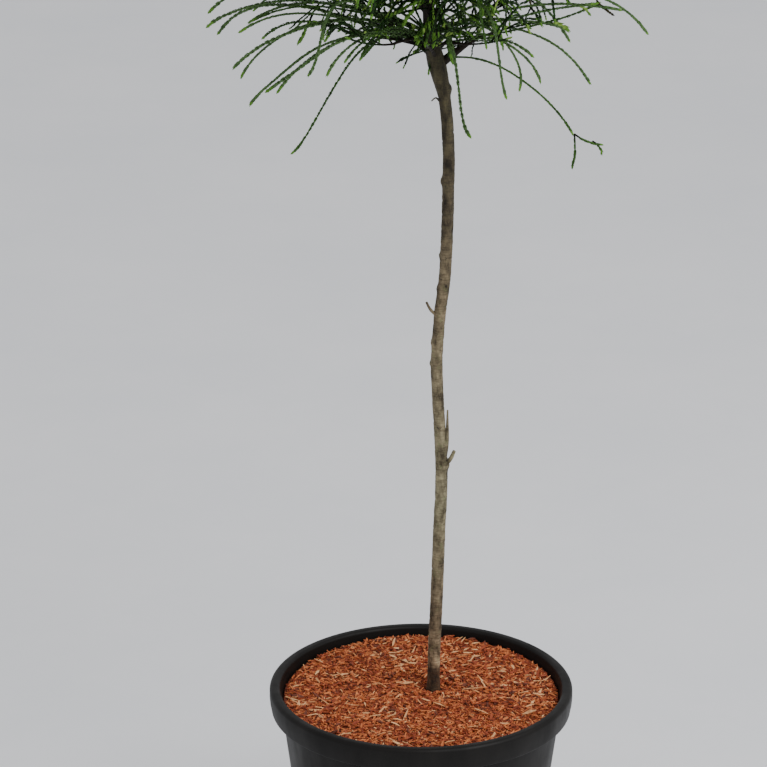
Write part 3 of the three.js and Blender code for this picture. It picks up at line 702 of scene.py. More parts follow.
def limb_lines(tier, order):
    """Lines of a mass's bough, or None, and of its stem, by the solid's rule, lifted a little in front."""
    azimuth = tier["turn"] + 360 * order / tier["masses"]
    if "bough" not in tier:
        base, reach, height = tier["stem"]
        start, end = stem_at(base), around(azimuth, reach, height)
        return None, bent(start, (start + end) / 2, end, STEM_SAMPLES)
    low, high, reach, height = tier["bough"]
    start = stem_at(low + (high - low) * ((order * 3) % tier["masses"]) / tier["masses"])
    rise = tier.get("rise", 0) * max(0.0, -math.sin(math.radians(azimuth)))
    tip = around(azimuth, reach, height + rise / 2)
    middle = (start + tip) / 2 + [0, 0, BOUGH_ARCH * np.linalg.norm(tip - start)]
    ahead = (tip - middle) / np.linalg.norm(tip - middle)
    end = around(azimuth, tier["stem"][0], tier["stem"][1] + rise)
    turned_on = (ahead * np.linalg.norm(end - tip) + end - tip) / 4
    return bent(start, middle, tip, BOUGH_SAMPLES), bent(tip, tip + turned_on, end, BOUGH_SAMPLES)


# The stem lines of all the masses, and the lines of the limbs that the head's short inner whips grow from.
stem_lines = {}
heart_lines = []
limb_parts = []
for tier_name, tier in TIERS.items():
    for order in tier.get("only", range(tier["masses"])):
        bough, along = limb_lines(tier, order)
        stem_lines[tier_name, order] = along
        if tier_name == "hem":
            continue
        first, last = BOUGH_RADII[tier_name]
        if bough is None:
            line, radius = along, np.linspace(first, last, len(along))
        else:
            heart_lines.append(np.concatenate([bough, along[1:]]))
            line = heart_lines[-1][:WOODY_PART]
            place = [0, len(bough) - 1, len(line) - 1]
            radius = np.interp(np.arange(len(line)), place, [first, last, BOUGH_END])
        if (tier_name, order) == ("skirt", 0):
            radius = np.interp(np.linspace(0, 1, len(line)), *zip(*LEADER_RADII))
        limb_parts.append(bark_tube(line, radius / 1000, TWIG_SIDES, 40 + len(limb_parts), BOUGH_ROUGH))
heart_lines = np.array(heart_lines)
boughs = mesh_piece("boughs", *joined(limb_parts))
boughs.data.materials.append(
    grained(
        "bough_bark", srgb(10, 8, 5), srgb(36, 28, 19), 260,
        stretch=(1, 1, 0.6), span=(0.32, 0.66), rough=(0.65, 0.9), bump=0.5, depth=0.0008, gloss=0.2,
    )
)
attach(boughs, "root")
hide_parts(*(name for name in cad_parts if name.startswith("bough_")))

# Whips.
# Long cord-like shoots that arch out of the boughs and droop, sheathed in crossed pairs of thick
# pointed scale leaves: dark green in the head, partly their own tone and partly painted shade, brighter
# outward and on top, partly painted light, lime at the growing tips, and a few thin bronze ones. Each
# starts on a mass's stem by the solid's growth rule, with finer side whips.

CAMERA = np.array([-0.03627, -3.98267, 2.10482])
WAY_DOWN = 0.388
NEAR_UP = [0.02, 0.03, 1.0]
WAVE_SIZES, WAVE_TURNS = (0.2, 1), (1, 2.6)
SEEDED_WAVE, SHORT_WAVE, SEEN_WAVES = 0.0022, 0.0015, (0.0010, 0.0004)
SEEDED_FULLNESS, INNER_FULLNESS, STEM_FULLNESS = (0.8, 1.05), (0.7, 0.95), 0.85
SIDE_FULLNESS = (0.82, 0.98)
LENGTH_STEPS = 17
LEAVING = 0.35

# Whips by the growth rule. Those whose tips would be seen under the head, or among the whips of the photo
# at its sides, are dropped, and the ones that show low down are thinned, more so on the right.
UNDERSIDE = {"hem": 0.880, "skirt": 0.888, "middle": 0.900, "upper": 0.900, "crest": 0.900}
BESIDE_LOW, BESIDE_OUT = 0.928, 0.125
THIN_LOW, THIN_SHARE = 0.948, 0.22
RIGHT_SIDE, KEPT_RIGHT, KEPT_LEFT = 0.2, 0.65, 0.75
REACH_BIAS = 0.65
WEDGE_OVERLAP = 1.15
FIRST_ROOT = 0.08
DOME_EVEN = 0.8
ROOT_PULL, TIP_PULL = 0.62, 0.58
TIP_DROOP = 0.35

# Short whips of the heart: how many to a limb, where on it, and how they leave it.
INNER_WHIPS = {"skirt": 19, "middle": 32, "upper": 40}
INNER_ROOTS = (0.06, 0.9)
INNER_ANGLES = (25, 85)
INNER_LENGTH = (0.026, 0.066)
INNER_DROOP = (0.05, 0.5)
INNER_REACH, INNER_BEND, INNER_SAG = 0.92, 0.75, 0.3
INNER_FAR = 0.115
INNER_UNDERSIDE = ([0.07, 0.115], [0.887, 0.91])

# Side whips: how many to a metre, their lengths, the stretch of the parent that they leave and how.
SIDE_NUMBER = 11
SIDE_LENGTH = (0.04, 0.12)
SIDE_ROOTS = (0.08, 0.72)
SIDE_ANGLES = (12, 34)
SIDE_TILT = (0.15, 0.5)
SIDE_DROOP = 0.22
SIDE_BIAS, SIDE_ROOM = 1.3, 0.9
SIDE_STRAIGHT, SIDE_BEND, SIDE_SAG = 0.75, 0.72, 0.2
SIDE_UNDERSIDE = ([0.09, 0.12], [0.886, 0.936])

# Whips seen in the photo, on the plane of the stem: azimuth, fullness, then where each comes into sight,
# its middle and its tip, as across and up in millimetres. The azimuth gives the depth.
SEEN = [
    (176, 1.0, -78, 927, -155, 927, -199, 906), (172, 1.0, -110, 925, -164, 922, -189, 900),
    (186, 0.9, -101, 918, -141, 915, -169, 902), (165, 0.85, -106, 911, -126, 909, -148, 896),
    (192, 1.05, -92, 910, -132, 897, -175, 867), (178, 0.9, -132, 896, -159, 871, -168, 856),
    (188, 1.0, -65, 898, -122, 869, -160, 830), (196, 1.05, -72, 894, -114, 867, -144, 843),
    (204, 0.9, -113, 868, -126, 854, -135, 842), (213, 0.9, -96, 884, -99, 874, -106, 858),
    (222, 0.9, -62, 892, -82, 872, -89, 859), (240, 0.8, -51, 895, -62, 885, -73, 872),
    (190, 0.8, -46, 892, -86, 841, -122, 783), (200, 0.65, 0, 886, -14, 878, -26, 871),
    (4, 1.0, 125, 941, 182, 924, 207, 900), (-3, 1.0, 107, 927, 161, 926, 182, 922),
    (12, 0.9, 89, 941, 119, 916, 135, 892), (-6, 1.0, 52, 913, 107, 910, 132, 904),
    (2, 0.9, 102, 899, 133, 879, 155, 852), (-12, 0.9, 66, 896, 93, 878, 109, 852),
    (-20, 0.9, 71, 894, 90, 887, 102, 878), (-34, 0.9, 71, 896, 83, 881, 90, 843),
    (-51, 0.9, 67, 896, 70, 876, 77, 837), (-60, 0.8, 54, 913, 56, 899, 58, 884),
    (-61, 1.0, 26, 889, 33, 844, 44, 799), (-2, 0.85, 47, 876, 101, 848, 140, 802),
    (182, 0.9, -114, 928, -138, 922, -161, 910), (174, 1.0, -168, 941, -184, 932, -197, 920),
    (10, 0.8, 93, 905, 124, 914, 163, 929), (-8, 0.9, 84, 915, 125, 924, 161, 929),
    (184, 0.8, -90, 925, -136, 921, -158, 912), (-170, 0.6, -94, 925, -107, 915, -123, 899),
]
# The ends that the whip at (140, 802) forks into.
PRONGS = [
    (-2, 0.85, 140, 803, 141, 787, 139, 769), (-2, 0.85, 140, 803, 152, 796, 168, 792),
    (-2, 0.8, 157, 796, 163, 791, 167, 782),
]
# Short whips seen at the heart of the head and under it: fullness, colour kind, then three places as
# across, up and depth from the stem's plane.
NEAR = [
    (1.1, 2, -4, 934, -16, -21, 922, -24, -34, 915, -30),
    (1.1, 2, -4, 928, -22, -13, 917, -30, -19, 906, -36),
    (1.0, 2, 7, 916, -24, -1, 899, -36, -6, 890, -44), (1.0, 1, 7, 916, -26, 4, 898, -36, 2, 887, -42),
    (1.1, 2, 8, 916, -22, 10, 898, -32, 10, 887, -38), (1.0, 1, 6, 914, -20, 0, 904, -30, -8, 893, -38),
    (1.3, 1, 20, 908, -18, 24, 888, -24, 27, 873, -28), (1.1, 1, 22, 914, -14, 24, 898, -20, 24, 884, -24),
    (0.6, 0, -4, 892, -8, -14, 877, -14, -19, 865, -18), (0.6, 0, 4, 884, -10, -13, 878, -16, -26, 871, -20),
    (0.8, 1, 2, 890, -14, -5, 885, -20, -10, 880, -24), (0.6, 0, -23, 897, -8, -26, 889, -10, -28, 883, -12),
    (1.2, 2, 47, 936, -16, 53, 926, -20, 55, 917, -24), (1.2, 2, 65, 910, -22, 70, 899, -26, 73, 889, -28),
    (0.5, 0, 45, 890, -4, 45, 882, -5, 44, 875, -6), (0.8, 0, 97, 932, -8, 104, 917, -12, 110, 905, -16),
    (0.8, 3, 138, 928, 0, 148, 923, 0, 154, 917, 0), (0.8, 4, 158, 928, 5, 168, 922, 5, 175, 917, 5),
    (1.2, 3, 118, 912, -10, 127, 907, -12, 134, 902, -14),
    (1.0, 2, -104, 910, -10, -110, 899, -12, -115, 889, -14),
    (0.6, 0, -82, 912, 0, -87, 903, 0, -91, 896, 0), (0.7, 0, -75, 912, 5, -84, 901, 5, -91, 891, 5),
    (1.0, 1, -32, 907, -8, -46, 889, -10, -58, 875, -12), (0.6, 0, -96, 928, 0, -111, 915, -2, -124, 903, -4),
    (0.7, 0, 7, 875, -3, 6, 867, -5, 5, 859, -5), (1.0, 1, -33, 904, -20, -48, 892, -24, -58, 874, -26),
]
SEEN_SCALE = 1.2
SEEN_DEPTH = 0.16
LEAF_PAST = 0.0035
ROOT_BACK, ROOT_SPOTS = 0.004, 61
ROOT_DROP = 8
LOWEST_RIGHT, LOWEST_LEFT, HIGHEST_ROOT = 872, 889, 902


def unit(rows):
    """Rows of vectors at length one."""
    return rows / np.maximum(np.linalg.norm(rows, axis=-1, keepdims=True), 1e-12)


def cross_axes(ahead):
    """Two axes across each heading: one to its side, nearly level, and one up."""
    side = unit(np.cross(ahead, NEAR_UP))
    return side, np.cross(side, ahead)


def from_axis(places):
    """How far places are from the crown's axis, seen from above."""
    return np.linalg.norm(places[..., :2] - CROWN_AXIS, axis=-1)


def seen_height(places):
    """The height on the stem's plane at which places show in the photo."""
    return places[:, 2] + WAY_DOWN * (places[:, 1] - CROWN_AXIS[1])


def counted(count):
    """Which whip each thing is on, and its number along it, from how many things each whip has."""
    which = np.repeat(np.arange(len(count)), count)
    return which, np.arange(len(which)) - np.repeat(np.cumsum(count) - count, count)


def bezier(control, s):
    """Points of cubic Bezier curves at shares of them."""
    r = 1 - s
    first, second, third, fourth = np.moveaxis(control, -2, 0)
    return r**3 * first + 3 * r**2 * s * second + 3 * r * s**2 * third + s**3 * fourth


def cubic(first, bend, last):
    """Control points of quadratic curves as cubics: the inner two lie two thirds of the way to the bend."""
    return np.stack([first, first + (bend - first) * 2 / 3, last + (bend - last) * 2 / 3, last], 1)


def drawn_in(tips):
    """Tips moved toward the crown's axis until they stand inside the solid's box, seen from above."""
    away = tips[:, :2] - CROWN_AXIS
    room = np.where(away > 0, cad_high[:2], cad_low[:2]) - CROWN_AXIS
    over = np.maximum(1, (away / room).max(1))[:, None]
    return np.concatenate([CROWN_AXIS + away / over, tips[:, 2:]], 1)


def seeded_whips(tier_name, order, rng):
    """Control points of one mass's whips: a root on the stem, a tip in the mass's wedge, arched between.

    The solid's rule: root along the stem, sweep inside the wedge, reach and height between the tier's
    limits, and a bend raised over the middle, more so toward the tip, which droops. Tips seen under the
    head, or where the whips of the photo hang, are dropped.
    """
    tier = TIERS[tier_name]
    count = tier["whips"]
    stem_of = stem_lines[tier_name, order]
    start = rng.permutation((np.arange(count) + rng.uniform(0, 1, count)) / count)
    sweep = (np.arange(count) + rng.uniform(0, 1, count)) / count - 0.5
    share = rng.uniform(0, 1, count) ** REACH_BIAS
    lift = rng.uniform(0, 1, count)
    if tier.get("domed"):
        lift = (1 - share**2) * between((DOME_EVEN, 1), lift)
    azimuth = tier["turn"] + 360 * (order + sweep * WEDGE_OVERLAP) / tier["masses"]
    tip = drawn_in(around(azimuth, between(tier["reach"], share), between(tier["tip"], lift)))
    at = between((FIRST_ROOT, 1), start) * (len(stem_of) - 1)
    root = np.stack([np.interp(at, np.arange(len(stem_of)), stem_of[:, axis]) for axis in range(3)], -1)
    raised = 2 * between(tier["arch"], rng.uniform(0, 1, count)) / 1000
    bend = (root + tip) / 2 + [0, 0, 1] * raised[:, None]
    seen_at = seen_height(tip)
    right = np.cos(np.radians(azimuth)) > RIGHT_SIDE
    kept = rng.uniform(0, 1, count) <= tier.get("thin", 1) * np.where(right, KEPT_RIGHT, KEPT_LEFT)
    kept |= (seen_at >= THIN_LOW) | (share <= THIN_SHARE)
    kept &= (seen_at >= BESIDE_LOW) | (np.abs(tip[:, 0] - CROWN_AXIS[0]) <= BESIDE_OUT)
    kept &= seen_at > UNDERSIDE[tier_name]
    root, bend, tip = root[kept], bend[kept], tip[kept]
    droop = (bend - (root + tip) / 2) * TIP_DROOP
    inner, outer = root + (bend - root) * ROOT_PULL, tip + (bend - tip) * TIP_PULL + droop
    return np.minimum(np.stack([root, inner, outer, tip], 1), [np.inf, np.inf, cad_high[2]])


def moved_back(across, up, deep):
    """Places seen at (across, up) on the stem's plane, each moved along its camera ray by a depth."""
    seen = np.stack([across, np.full_like(across, CROWN_AXIS[1]), up], -1)
    return CAMERA + (seen - CAMERA) * (1 + deep / (CROWN_AXIS[1] - CAMERA[1]))[..., None]


def seen_places(rows):
    """The places of whips seen in the photo, each at the depth that its azimuth about the axis gives."""
    slope = np.tan(np.radians(rows[:, 0]))[:, None]
    across, up = rows[:, 2::2] / 1000, rows[:, 3::2] / 1000
    return moved_back(across, up, np.clip((across - CROWN_AXIS[0]) * slope, -SEEN_DEPTH, SEEN_DEPTH))


def seen_whips(rows):
    """Control points of whips seen in the photo: cubics through a root in the head and their three places.

    The two inner control points solve the curve through the inner places at their shares of the chords.
    The line ends short of the tip's place by what the last leaves stand past it.
    """
    places = seen_places(rows)
    places[:, 2] -= unit(places[:, 2] - places[:, 1]) * LEAF_PAST
    lowest = np.where(rows[:, 2] > 0, LOWEST_RIGHT, LOWEST_LEFT)
    root = around(rows[:, 0], 2, np.clip(rows[:, 3] - ROOT_DROP, lowest, HIGHEST_ROOT))
    reach = np.linalg.norm(np.diff(np.concatenate([root[:, None], places], 1), axis=1), axis=-1)
    at = (np.cumsum(reach, 1) / reach.sum(1, keepdims=True))[:, :2]
    ends = (1 - at)[..., None] ** 3 * root[:, None] + at[..., None] ** 3 * places[:, 2:]
    weights = np.stack([3 * (1 - at) ** 2 * at, 3 * (1 - at) * at**2], -1)
    return np.concatenate([root[:, None], np.linalg.solve(weights, places[:, :2] - ends), places[:, 2:]], 1)


def rooted(places, control):
    """Places of short whips, each with its first moved onto other curves: to the point nearest behind it."""
    spots = bezier(control[:, None], np.linspace(0, 1, ROOT_SPOTS)[:, None]).reshape(-1, 3)
    behind = places[:, 0] - unit(places[:, 1] - places[:, 0]) * ROOT_BACK
    nearest = spots[[np.linalg.norm(spots - place, axis=1).argmin() for place in behind]]
    return np.concatenate([nearest[:, None], places[:, 1:]], 1)


def short_whips(places):
    """Control points of quadratics through three places each, the middle one at its share of the two chords.

    The line ends short of the last place by what the last leaves stand past it.
    """
    first, middle, last = places.transpose(1, 0, 2)
    last = last - unit(last - middle) * LEAF_PAST
    before = np.linalg.norm(middle - first, axis=1, keepdims=True)
    at = before / (before + np.linalg.norm(last - middle, axis=1, keepdims=True))
    return cubic(first, (middle - (1 - at) ** 2 * first - at**2 * last) / (2 * at * (1 - at)), last)


def whips_of(control, full, rng, wave):
    """A set of whips as arrays: control points, length, fullness, two axes across and a wave on each axis."""
    count = len(control)
    side, lift = cross_axes(unit(control[:, 3] - control[:, 0]))
    line = bezier(control[:, None], np.linspace(0, 1, LENGTH_STEPS)[:, None])
    length = np.linalg.norm(np.diff(line, axis=1), axis=-1).sum(1)
    size = rng.uniform(*WAVE_SIZES, (2, count)) * wave
    waves = np.stack([size, rng.uniform(*WAVE_TURNS, (2, count)), rng.uniform(0, 1, (2, count))], -1)
    full = np.broadcast_to(full, count).astype(float)
    return dict(control=control, length=length, full=full, side=side, lift=lift, waves=waves)


def along_whips(whips, which, share):
    """Place and heading at shares of whips: a cubic curve plus a growing sine wave on each cross axis."""
    control, s = whips["control"][which], share[:, None]
    place = bezier(control, s)
    first, second, third = np.moveaxis(np.diff(control, axis=1), 1, 0)
    ahead = 3 * ((1 - s) ** 2 * first + 2 * (1 - s) * s * second + s * s * third)
    for name, wave in zip(("side", "lift"), whips["waves"]):
        axis = whips[name][which]
        size, turns, phase = wave[which].T
        turn = 2 * np.pi * (turns * share + phase)
        steepness = np.sin(turn) + share * 2 * np.pi * turns * np.cos(turn)
        place = place + (size * share * np.sin(turn))[:, None] * axis
        ahead = ahead + (size * steepness)[:, None] * axis
    return place, unit(ahead)


def stem_whips():
    """Control points of the masses' own stems, each a quadratic through its line's ends and middle."""
    lines = np.array([line[[0, len(line) // 2, -1]] for line in stem_lines.values()])
    first, middle, last = lines.transpose(1, 0, 2)
    return cubic(first, 2 * middle - (first + last) / 2, last)


def inner_whips(rng):
    """Control points of the short whips that fill the heart of the head.

    Each is rooted at a seeded share of a limb, leaves it at a seeded angle and side, and hangs by a share
    of its length. Tips seen under the head or far out are dropped.
    """
    masses = [TIERS[name]["masses"] for name in INNER_WHIPS]
    limb = np.repeat(np.arange(len(heart_lines)), np.repeat([*INNER_WHIPS.values()], masses))
    some = len(limb)
    at = rng.uniform(*INNER_ROOTS, some) * (heart_lines.shape[1] - 1)
    low = np.floor(at).astype(int)
    step = heart_lines[limb, low + 1] - heart_lines[limb, low]
    root = heart_lines[limb, low] + step * (at - low)[:, None]
    ahead = unit(step)
    side, up = cross_axes(ahead)
    out = np.radians(rng.uniform(*INNER_ANGLES, some))[:, None]
    turn = rng.uniform(0, 2 * np.pi, some)[:, None]
    way = ahead * np.cos(out) + (side * np.cos(turn) + up * np.sin(turn)) * np.sin(out)
    reach = rng.uniform(*INNER_LENGTH, some)[:, None]
    droop = np.array([0, 0, -1.0]) * reach * rng.uniform(*INNER_DROOP, some)[:, None]
    tip = root + way * reach * INNER_REACH + droop
    outer = root + way * reach * INNER_BEND + droop * INNER_SAG
    control = np.stack([root, root + way * reach * LEAVING, outer, tip], 1)
    far = from_axis(tip)
    return control[(seen_height(tip) > np.interp(far, *INNER_UNDERSIDE)) & (far < INNER_FAR)]


def side_whips(parents, rng):
    """Control points and parents of side whips: left and right in turn, at a narrow angle, drooping."""
    about = parents["length"] * SIDE_NUMBER + rng.uniform(-0.5, 0.5, len(parents["length"]))
    count = np.maximum(0, np.round(about)).astype(int)
    which, turn = counted(count)
    some = len(which)
    share = between(SIDE_ROOTS, (turn + rng.uniform(0, 1, some)) / np.maximum(count[which], 1))
    root, ahead = along_whips(parents, which, share)
    side, up = cross_axes(ahead)
    sign = np.where((turn + which) % 2, 1.0, -1.0)[:, None]
    out = np.radians(rng.uniform(*SIDE_ANGLES, some))[:, None]
    tilt = rng.normal(*SIDE_TILT, some)[:, None]
    way = unit(ahead * np.cos(out) + (side * sign * np.cos(tilt) + up * np.sin(tilt)) * np.sin(out))
    reach = between(SIDE_LENGTH, rng.uniform(0, 1, some) ** SIDE_BIAS)
    reach = np.minimum(reach, parents["length"][which] * (1.02 - share) * SIDE_ROOM)[:, None]
    droop = np.array([0, 0, -1.0]) * reach * rng.uniform(0, SIDE_DROOP, some)[:, None]
    turned_in = unit(way * SIDE_STRAIGHT + ahead * (1 - SIDE_STRAIGHT))
    tip = drawn_in(root + turned_in * reach + droop)
    outer = root + way * reach * SIDE_BEND + droop * SIDE_SAG
    control = np.stack([root, root + way * reach * LEAVING, outer, tip], 1)
    clear = seen_height(tip) > np.interp(from_axis(tip), *SIDE_UNDERSIDE)
    return control[clear], which[clear]


rng = np.random.default_rng(7)
seeds = {key: TIERS[key[0]]["seed"] * 1000 + key[1] for key in stem_lines}
main = np.concatenate([seeded_whips(*key, np.random.default_rng(seed)) for key, seed in seeds.items()])
seen_rows, prong_rows, near_rows = np.array(SEEN, float), np.array(PRONGS, float), np.array(NEAR, float)
heart = inner_whips(rng)
far = np.concatenate([seen_whips(seen_rows), short_whips(seen_places(prong_rows))])
near = moved_back(*(near_rows[:, first::3] / 1000 for first in (2, 3, 4)))
near = short_whips(rooted(near, np.concatenate([main, heart, far])))
seen = np.concatenate([far, near])
seen_full = np.concatenate([seen_rows[:, 1], prong_rows[:, 1], near_rows[:, 0]])
seeded = whips_of(main, rng.uniform(*SEEDED_FULLNESS, len(main)), rng, SEEDED_WAVE)
control, parent = side_whips(seeded, rng)
side_full = seeded["full"][parent] * rng.uniform(*SIDE_FULLNESS, len(parent))
sides = whips_of(control, side_full, rng, SHORT_WAVE)
sway = np.where(np.arange(len(seen)) < len(seen_rows), *SEEN_WAVES)
standing = whips_of(seen, seen_full * SEEN_SCALE, rng, sway)
inner = whips_of(heart, rng.uniform(*INNER_FULLNESS, len(heart)), rng, SHORT_WAVE)
own_stems = stem_whips()
sets = (seeded, sides, standing, inner, whips_of(own_stems, STEM_FULLNESS, rng, 0))
whips = {key: np.concatenate([some[key] for some in sets], 1 if key == "waves" else 0) for key in seeded}

# Scale leaves and woody cores.
# The leaves sit in opposite pairs that cross each other along a whip and close into a bud at its tip. Each
# whip has its own green and a brighter end; leaves deep in the head are darker as painted shade, and leaves
# far out high on the crown lighter as painted light.

LEAF_STEP = 0.0026
LEAF_LENGTH = 0.0050
LEAF_WIDTH = 0.0023
LEAF_OUT = 0.0011
LEAF_KEEL = 0.0007
LEAF_SIZES, LEAF_LEANS = (0.88, 1.14), (0.8, 1.15)
THIN_STEP, ROOT_SIZE, ROOT_PART = (0.72, 1), (0.86, 1), 1 / 3
PAIR_SHIFT, PAIR_TWIST = 0.0003, 0.12
LEAF_MIDDLE, EDGE_OUT, KEEL_OUT = 0.45, 0.35, 0.62
BUD_SCALE, BUD_CLOSED = 0.8, 0.45
BUD_PLACES = np.array([0.0052, 0.0038, 0.0024, 0.0010])
BUD_LENGTH, LAST_PAIR, PLAIN_END = 0.0060, 0.0066, 0.0068
TIP_STRETCH, TIP_FULLER = 0.017, 1.18
LEAF_FACES = np.array([[0, 1, 3], [0, 2, 1], [0, 3, 2], [4, 3, 1], [4, 1, 2], [4, 2, 3]])
PIECE_LEAVES = 33000
CORE_RADIUS, CORE_END, CORE_TAPER = 0.0011, 0.995, 0.45
# Whips from one length to another have cores of so many rings.
CORE_RINGS = ((0, 0.03, 5), (0.03, 0.07, 8), (0.07, 0.12, 12), (0.12, 1, 20))
# Each colour kind's dark and light shade. The deep kind's near black is partly the plant's own dark green and
# partly painted shade, since it also goes on whips in the shaded heart and underside of the head. Below are
# the kinds' shares among the ruled and the short whips.
KIND_COLOURS = {
    "deep": (srgb(6, 22, 2), srgb(30, 68, 14)),
    "green": (srgb(37, 63, 22), srgb(67, 103, 40)),
    "fresh": (srgb(64, 106, 30), srgb(106, 150, 54)),
    "lime": (srgb(98, 134, 50), srgb(148, 178, 84)),
    "bronze": (srgb(32, 31, 14), srgb(70, 64, 33)),
    "grey": (srgb(54, 80, 41), srgb(86, 116, 64)),
}
DEEP, GREEN, FRESH, LIME, BRONZE, GREY = range(len(KIND_COLOURS))
MAIN_KINDS = [0.36, 0.46, 0.14, 0.0, 0.04]
INNER_KINDS = [0.55, 0.19, 0.22, 0.04]
DARK_BELOW = 0.86
BRIGHT_END = (0.001, 0.009)
GREEN_WITHIN, DEEP_WITHIN = 0.075, 0.06
CROWN_LOW, GREEN_BEYOND, FRESH_BEYOND = 0.99, 0.11, 0.20
CROWN_OPENS = ([0.98, 1.08], [1, 0.1])


def square_axes(whips, which, ahead):
    """Two axes square to each heading along a whip: one to its side and one up."""
    side = unit(np.cross(ahead, np.cross(whips["side"][which], ahead)))
    return side, np.cross(ahead, side)


def leaf_places(whips, rng):
    """Every pair of scale leaves: its whip, its distance from the tip and its number along the whip.

    Pairs are evenly spaced, closer on thin whips, and the last four crowd into the bud.
    """
    step = LEAF_STEP * between(THIN_STEP, whips["full"])
    plain = np.maximum(1, np.floor((whips["length"] - PLAIN_END) / step)).astype(int)
    which, turn = counted(plain + len(BUD_PLACES))
    bud = turn - plain[which]
    back = np.where(bud >= 0, BUD_PLACES[np.maximum(bud, 0)], LAST_PAIR - (bud + 1) * step[which])
    return which, back + rng.uniform(-PAIR_SHIFT, PAIR_SHIFT, len(which)), turn


def leaf_shapes(whips, which, back, turn, rng):
    """Corner points of the scale leaves, two to a pair: closed spindles of a root, left, keel, right and tip.

    The root sits on the whip's axis, the widest ring lies just short of half way, and the tip stands off
    the axis. Leaves grow toward the tip of the whip, and the bud's close over it.
    """
    some = len(which)
    share = np.clip(1 - back / whips["length"][which], 0, 1)
    place, ahead = along_whips(whips, which, share)
    side, up = square_axes(whips, which, ahead)
    full = whips["full"][which] * between(ROOT_SIZE, np.minimum(share / ROOT_PART, 1))
    full = full * np.where(back < TIP_STRETCH, TIP_FULLER, 1.0)
    bud = back < BUD_LENGTH
    angle = (turn % 2) * np.pi / 2 + whips["waves"][0, which, 2] * 2 * np.pi
    angle = angle + rng.normal(0, PAIR_TWIST, some)
    corners = []
    for opposite in (0, np.pi):
        out = side * np.cos(angle + opposite)[:, None] + up * np.sin(angle + opposite)[:, None]
        size = (full * rng.uniform(*LEAF_SIZES, some))[:, None]
        reach = ahead * LEAF_LENGTH * size * np.where(bud, BUD_SCALE, 1.0)[:, None]
        off = LEAF_OUT * size * np.where(bud, BUD_CLOSED, rng.uniform(*LEAF_LEANS, some))[:, None]
        wide = np.cross(ahead, out) * LEAF_WIDTH * size / 2
        middle = place + reach * LEAF_MIDDLE
        keel = middle + out * (off * KEEL_OUT + LEAF_KEEL * size)
        middle = middle + out * off * EDGE_OUT
        corners.append(np.stack([place, middle + wide, keel, middle - wide, place + reach + out * off], 1))
    return np.stack(corners, 1).reshape(-1, 5, 3)


def core_tubes(whips, rows, rings):
    """Points and triangles of three-sided woody cores for some whips, all with the same number of rings."""
    count = len(rows)
    share = np.tile(np.linspace(0, CORE_END, rings), count)
    which = np.repeat(rows, rings)
    place, ahead = along_whips(whips, which, share)
    side, up = square_axes(whips, which, ahead)
    radius = CORE_RADIUS * whips["full"][which] * (1 - CORE_TAPER * share)
    turn = np.array([0, 2, 4]) * np.pi / 3
    ring = side[:, None] * np.cos(turn)[None, :, None] + up[:, None] * np.sin(turn)[None, :, None]
    points = (place[:, None] + ring * radius[:, None, None]).reshape(-1, 3)
    last = 3 * (rings - 1)
    one = np.concatenate([triangles(tube_faces(rings, 3)), [[0, 2, 1], [last, last + 1, last + 2]]])
    return points, (np.arange(count)[:, None, None] * 3 * rings + one[None]).reshape(-1, 3)


# Every whip's own colour kind, then the brighter kind of its end and how far that reaches back.
main_spray = rng.choice(len(MAIN_KINDS), len(main), p=MAIN_KINDS)
seen_spray = np.where(seen_full > DARK_BELOW, GREY, GREEN)
seen_spray[-len(near_rows) :] = near_rows[:, 1]
inner_spray = rng.choice(len(INNER_KINDS), len(heart), p=INNER_KINDS)
# The masses' own stems, inside the head, all take the deep kind, partly as painted shade.
stem_spray = np.full(len(own_stems), DEEP)
spray = np.concatenate([main_spray, main_spray[parent], seen_spray, inner_spray, stem_spray])
bright = rng.choice([FRESH, FRESH, FRESH, LIME], len(spray))
first_seen = len(main) + len(parent)
bright[first_seen : first_seen + len(seen)] = FRESH
bright_length = rng.uniform(*BRIGHT_END, len(spray)) * (spray != BRONZE)

which, back, turn = leaf_places(whips, rng)
corners = leaf_shapes(whips, which, back, turn, rng)
kind = np.where(back < bright_length[which], bright[which], spray[which])
grown = which < first_seen
place = corners[::2, 0]
high = place[:, 2] > CROWN_LOW
# How much light a pair gets: its distance from the axis, which counts for more toward the crown.
light = from_axis(place) / np.interp(place[:, 2], *CROWN_OPENS)
# Painted shade and light: pairs near the axis take darker kinds, pairs far out high on the crown brighter
# ones.
kind = np.where((light < GREEN_WITHIN) & (kind == FRESH) & grown, GREEN, kind)
kind = np.where((light < DEEP_WITHIN) & (kind == GREEN) & grown, DEEP, kind)
kind = np.where(high & (light > GREEN_BEYOND) & (kind == DEEP) & (which % 3 > 0), GREEN, kind)
kind = np.where(high & (light > FRESH_BEYOND) & (kind == GREEN) & (which % 4 == 1), FRESH, kind)
kind = np.repeat(kind, 2)
whip_pieces = []
for number, (name, colours) in enumerate(KIND_COLOURS.items()):
    material = grained(
        f"whip_{name}", *colours, 90, span=(0.3, 0.7), rough=(0.45, 0.65), bump=0.25, depth=0.0006, gloss=0.16
    )
    rows = np.flatnonzero(kind == number)
    for part, chosen in enumerate(np.array_split(rows, max(1, math.ceil(len(rows) / PIECE_LEAVES)))):
        points = corners[chosen].reshape(-1, 3)
        faces = (np.arange(len(chosen))[:, None, None] * 5 + LEAF_FACES[None]).reshape(-1, 3)
        whip_pieces.append(mesh_piece(f"whip_leaves_{name}_{part + 1}", points, faces, smooth=False))
        whip_pieces[-1].data.materials.append(material)
core_parts = []
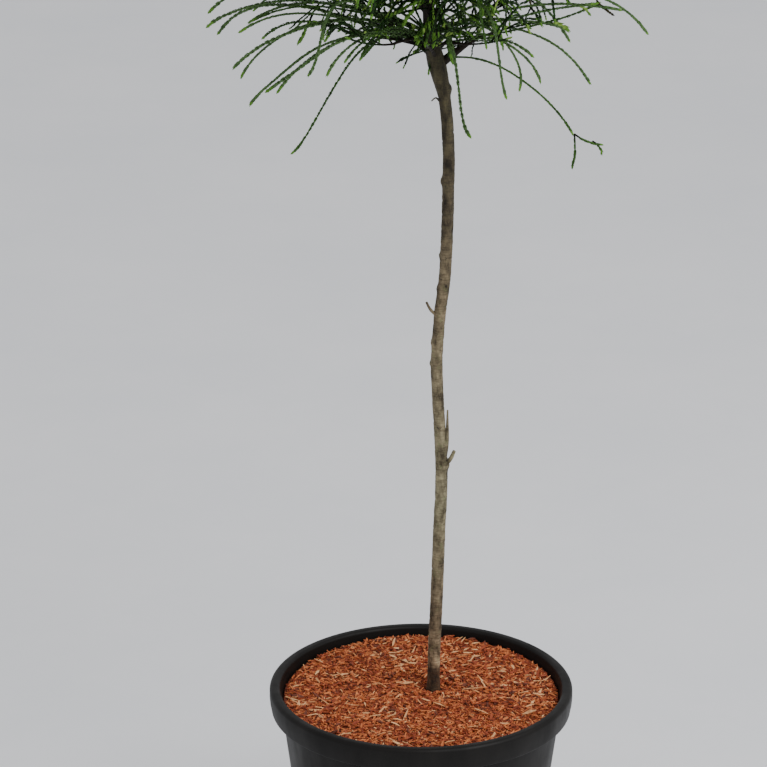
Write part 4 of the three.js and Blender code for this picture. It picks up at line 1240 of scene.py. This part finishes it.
for low, high, rings in CORE_RINGS:
    rows = np.flatnonzero((whips["length"] >= low) & (whips["length"] < high))
    core_parts.append(core_tubes(whips, rows, rings))
cores = mesh_piece("whip_cores", *joined(core_parts))
# The cores' near-black green is partly painted shade of the head's heart.
cores.data.materials.append(
    grained("whip_core", srgb(7, 15, 4), srgb(27, 34, 12), 200, rough=(0.6, 0.8), depth=0.0005, gloss=0.2)
)
whip_pieces.append(cores)
for piece in whip_pieces:
    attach(piece, "root")
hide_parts(*(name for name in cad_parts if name.startswith("foliage_")))

# Stage, light and camera.
# A pale plain floor that meets a world of the same tone, soft light from above, and the photo's
# camera: a long lens about 4 m off, looking 21 degrees down at the stem.

FLOOR_REACH = 14
floor_corners = np.array([[-1, -1, 0], [1, -1, 0], [1, 1, 0], [-1, 1, 0]]) * FLOOR_REACH
floor = mesh_piece("floor", floor_corners, [[0, 1, 2, 3]], smooth=False)
floor.data.materials.append(
    grained("floor", srgb(239, 240, 243), srgb(245, 245, 247), 3, rough=(0.8, 0.9), bump=0.02)
)
floor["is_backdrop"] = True

world = bpy.data.worlds.new("studio")
bpy.context.scene.world = world
world.use_nodes = True
sky = world.node_tree.nodes["Background"].inputs
sky["Color"].default_value = (0.78, 0.79, 0.81, 1)
sky["Strength"].default_value = 0.92


def soft_light(name, place, aim, size, power):
    """A square area light turned toward a point."""
    lamp = bpy.data.lights.new(name, "AREA")
    lamp.size, lamp.energy = size, power
    made = bpy.data.objects.new(name, lamp)
    bpy.context.scene.collection.objects.link(made)
    made.location = place
    toward = np.subtract(aim, place)
    flat = math.hypot(toward[0], toward[1])
    made.rotation_euler = (math.atan2(flat, -toward[2]), 0, math.atan2(toward[1], toward[0]) - math.pi / 2)
    return made


soft_light("key", (1.7, -1.5, 2.9), (0, 0, 0.5), 2.2, 80)

lens = bpy.data.cameras.new("camera")
lens.sensor_width, lens.lens = 36, 212.78
lens.clip_start, lens.clip_end = 0.1, 100
camera = bpy.data.objects.new("camera", lens)
bpy.context.scene.collection.objects.link(camera)
camera.location = CAMERA
camera.rotation_euler = (math.radians(68.8), 0, 0)
bpy.context.scene.camera = camera

low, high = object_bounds()
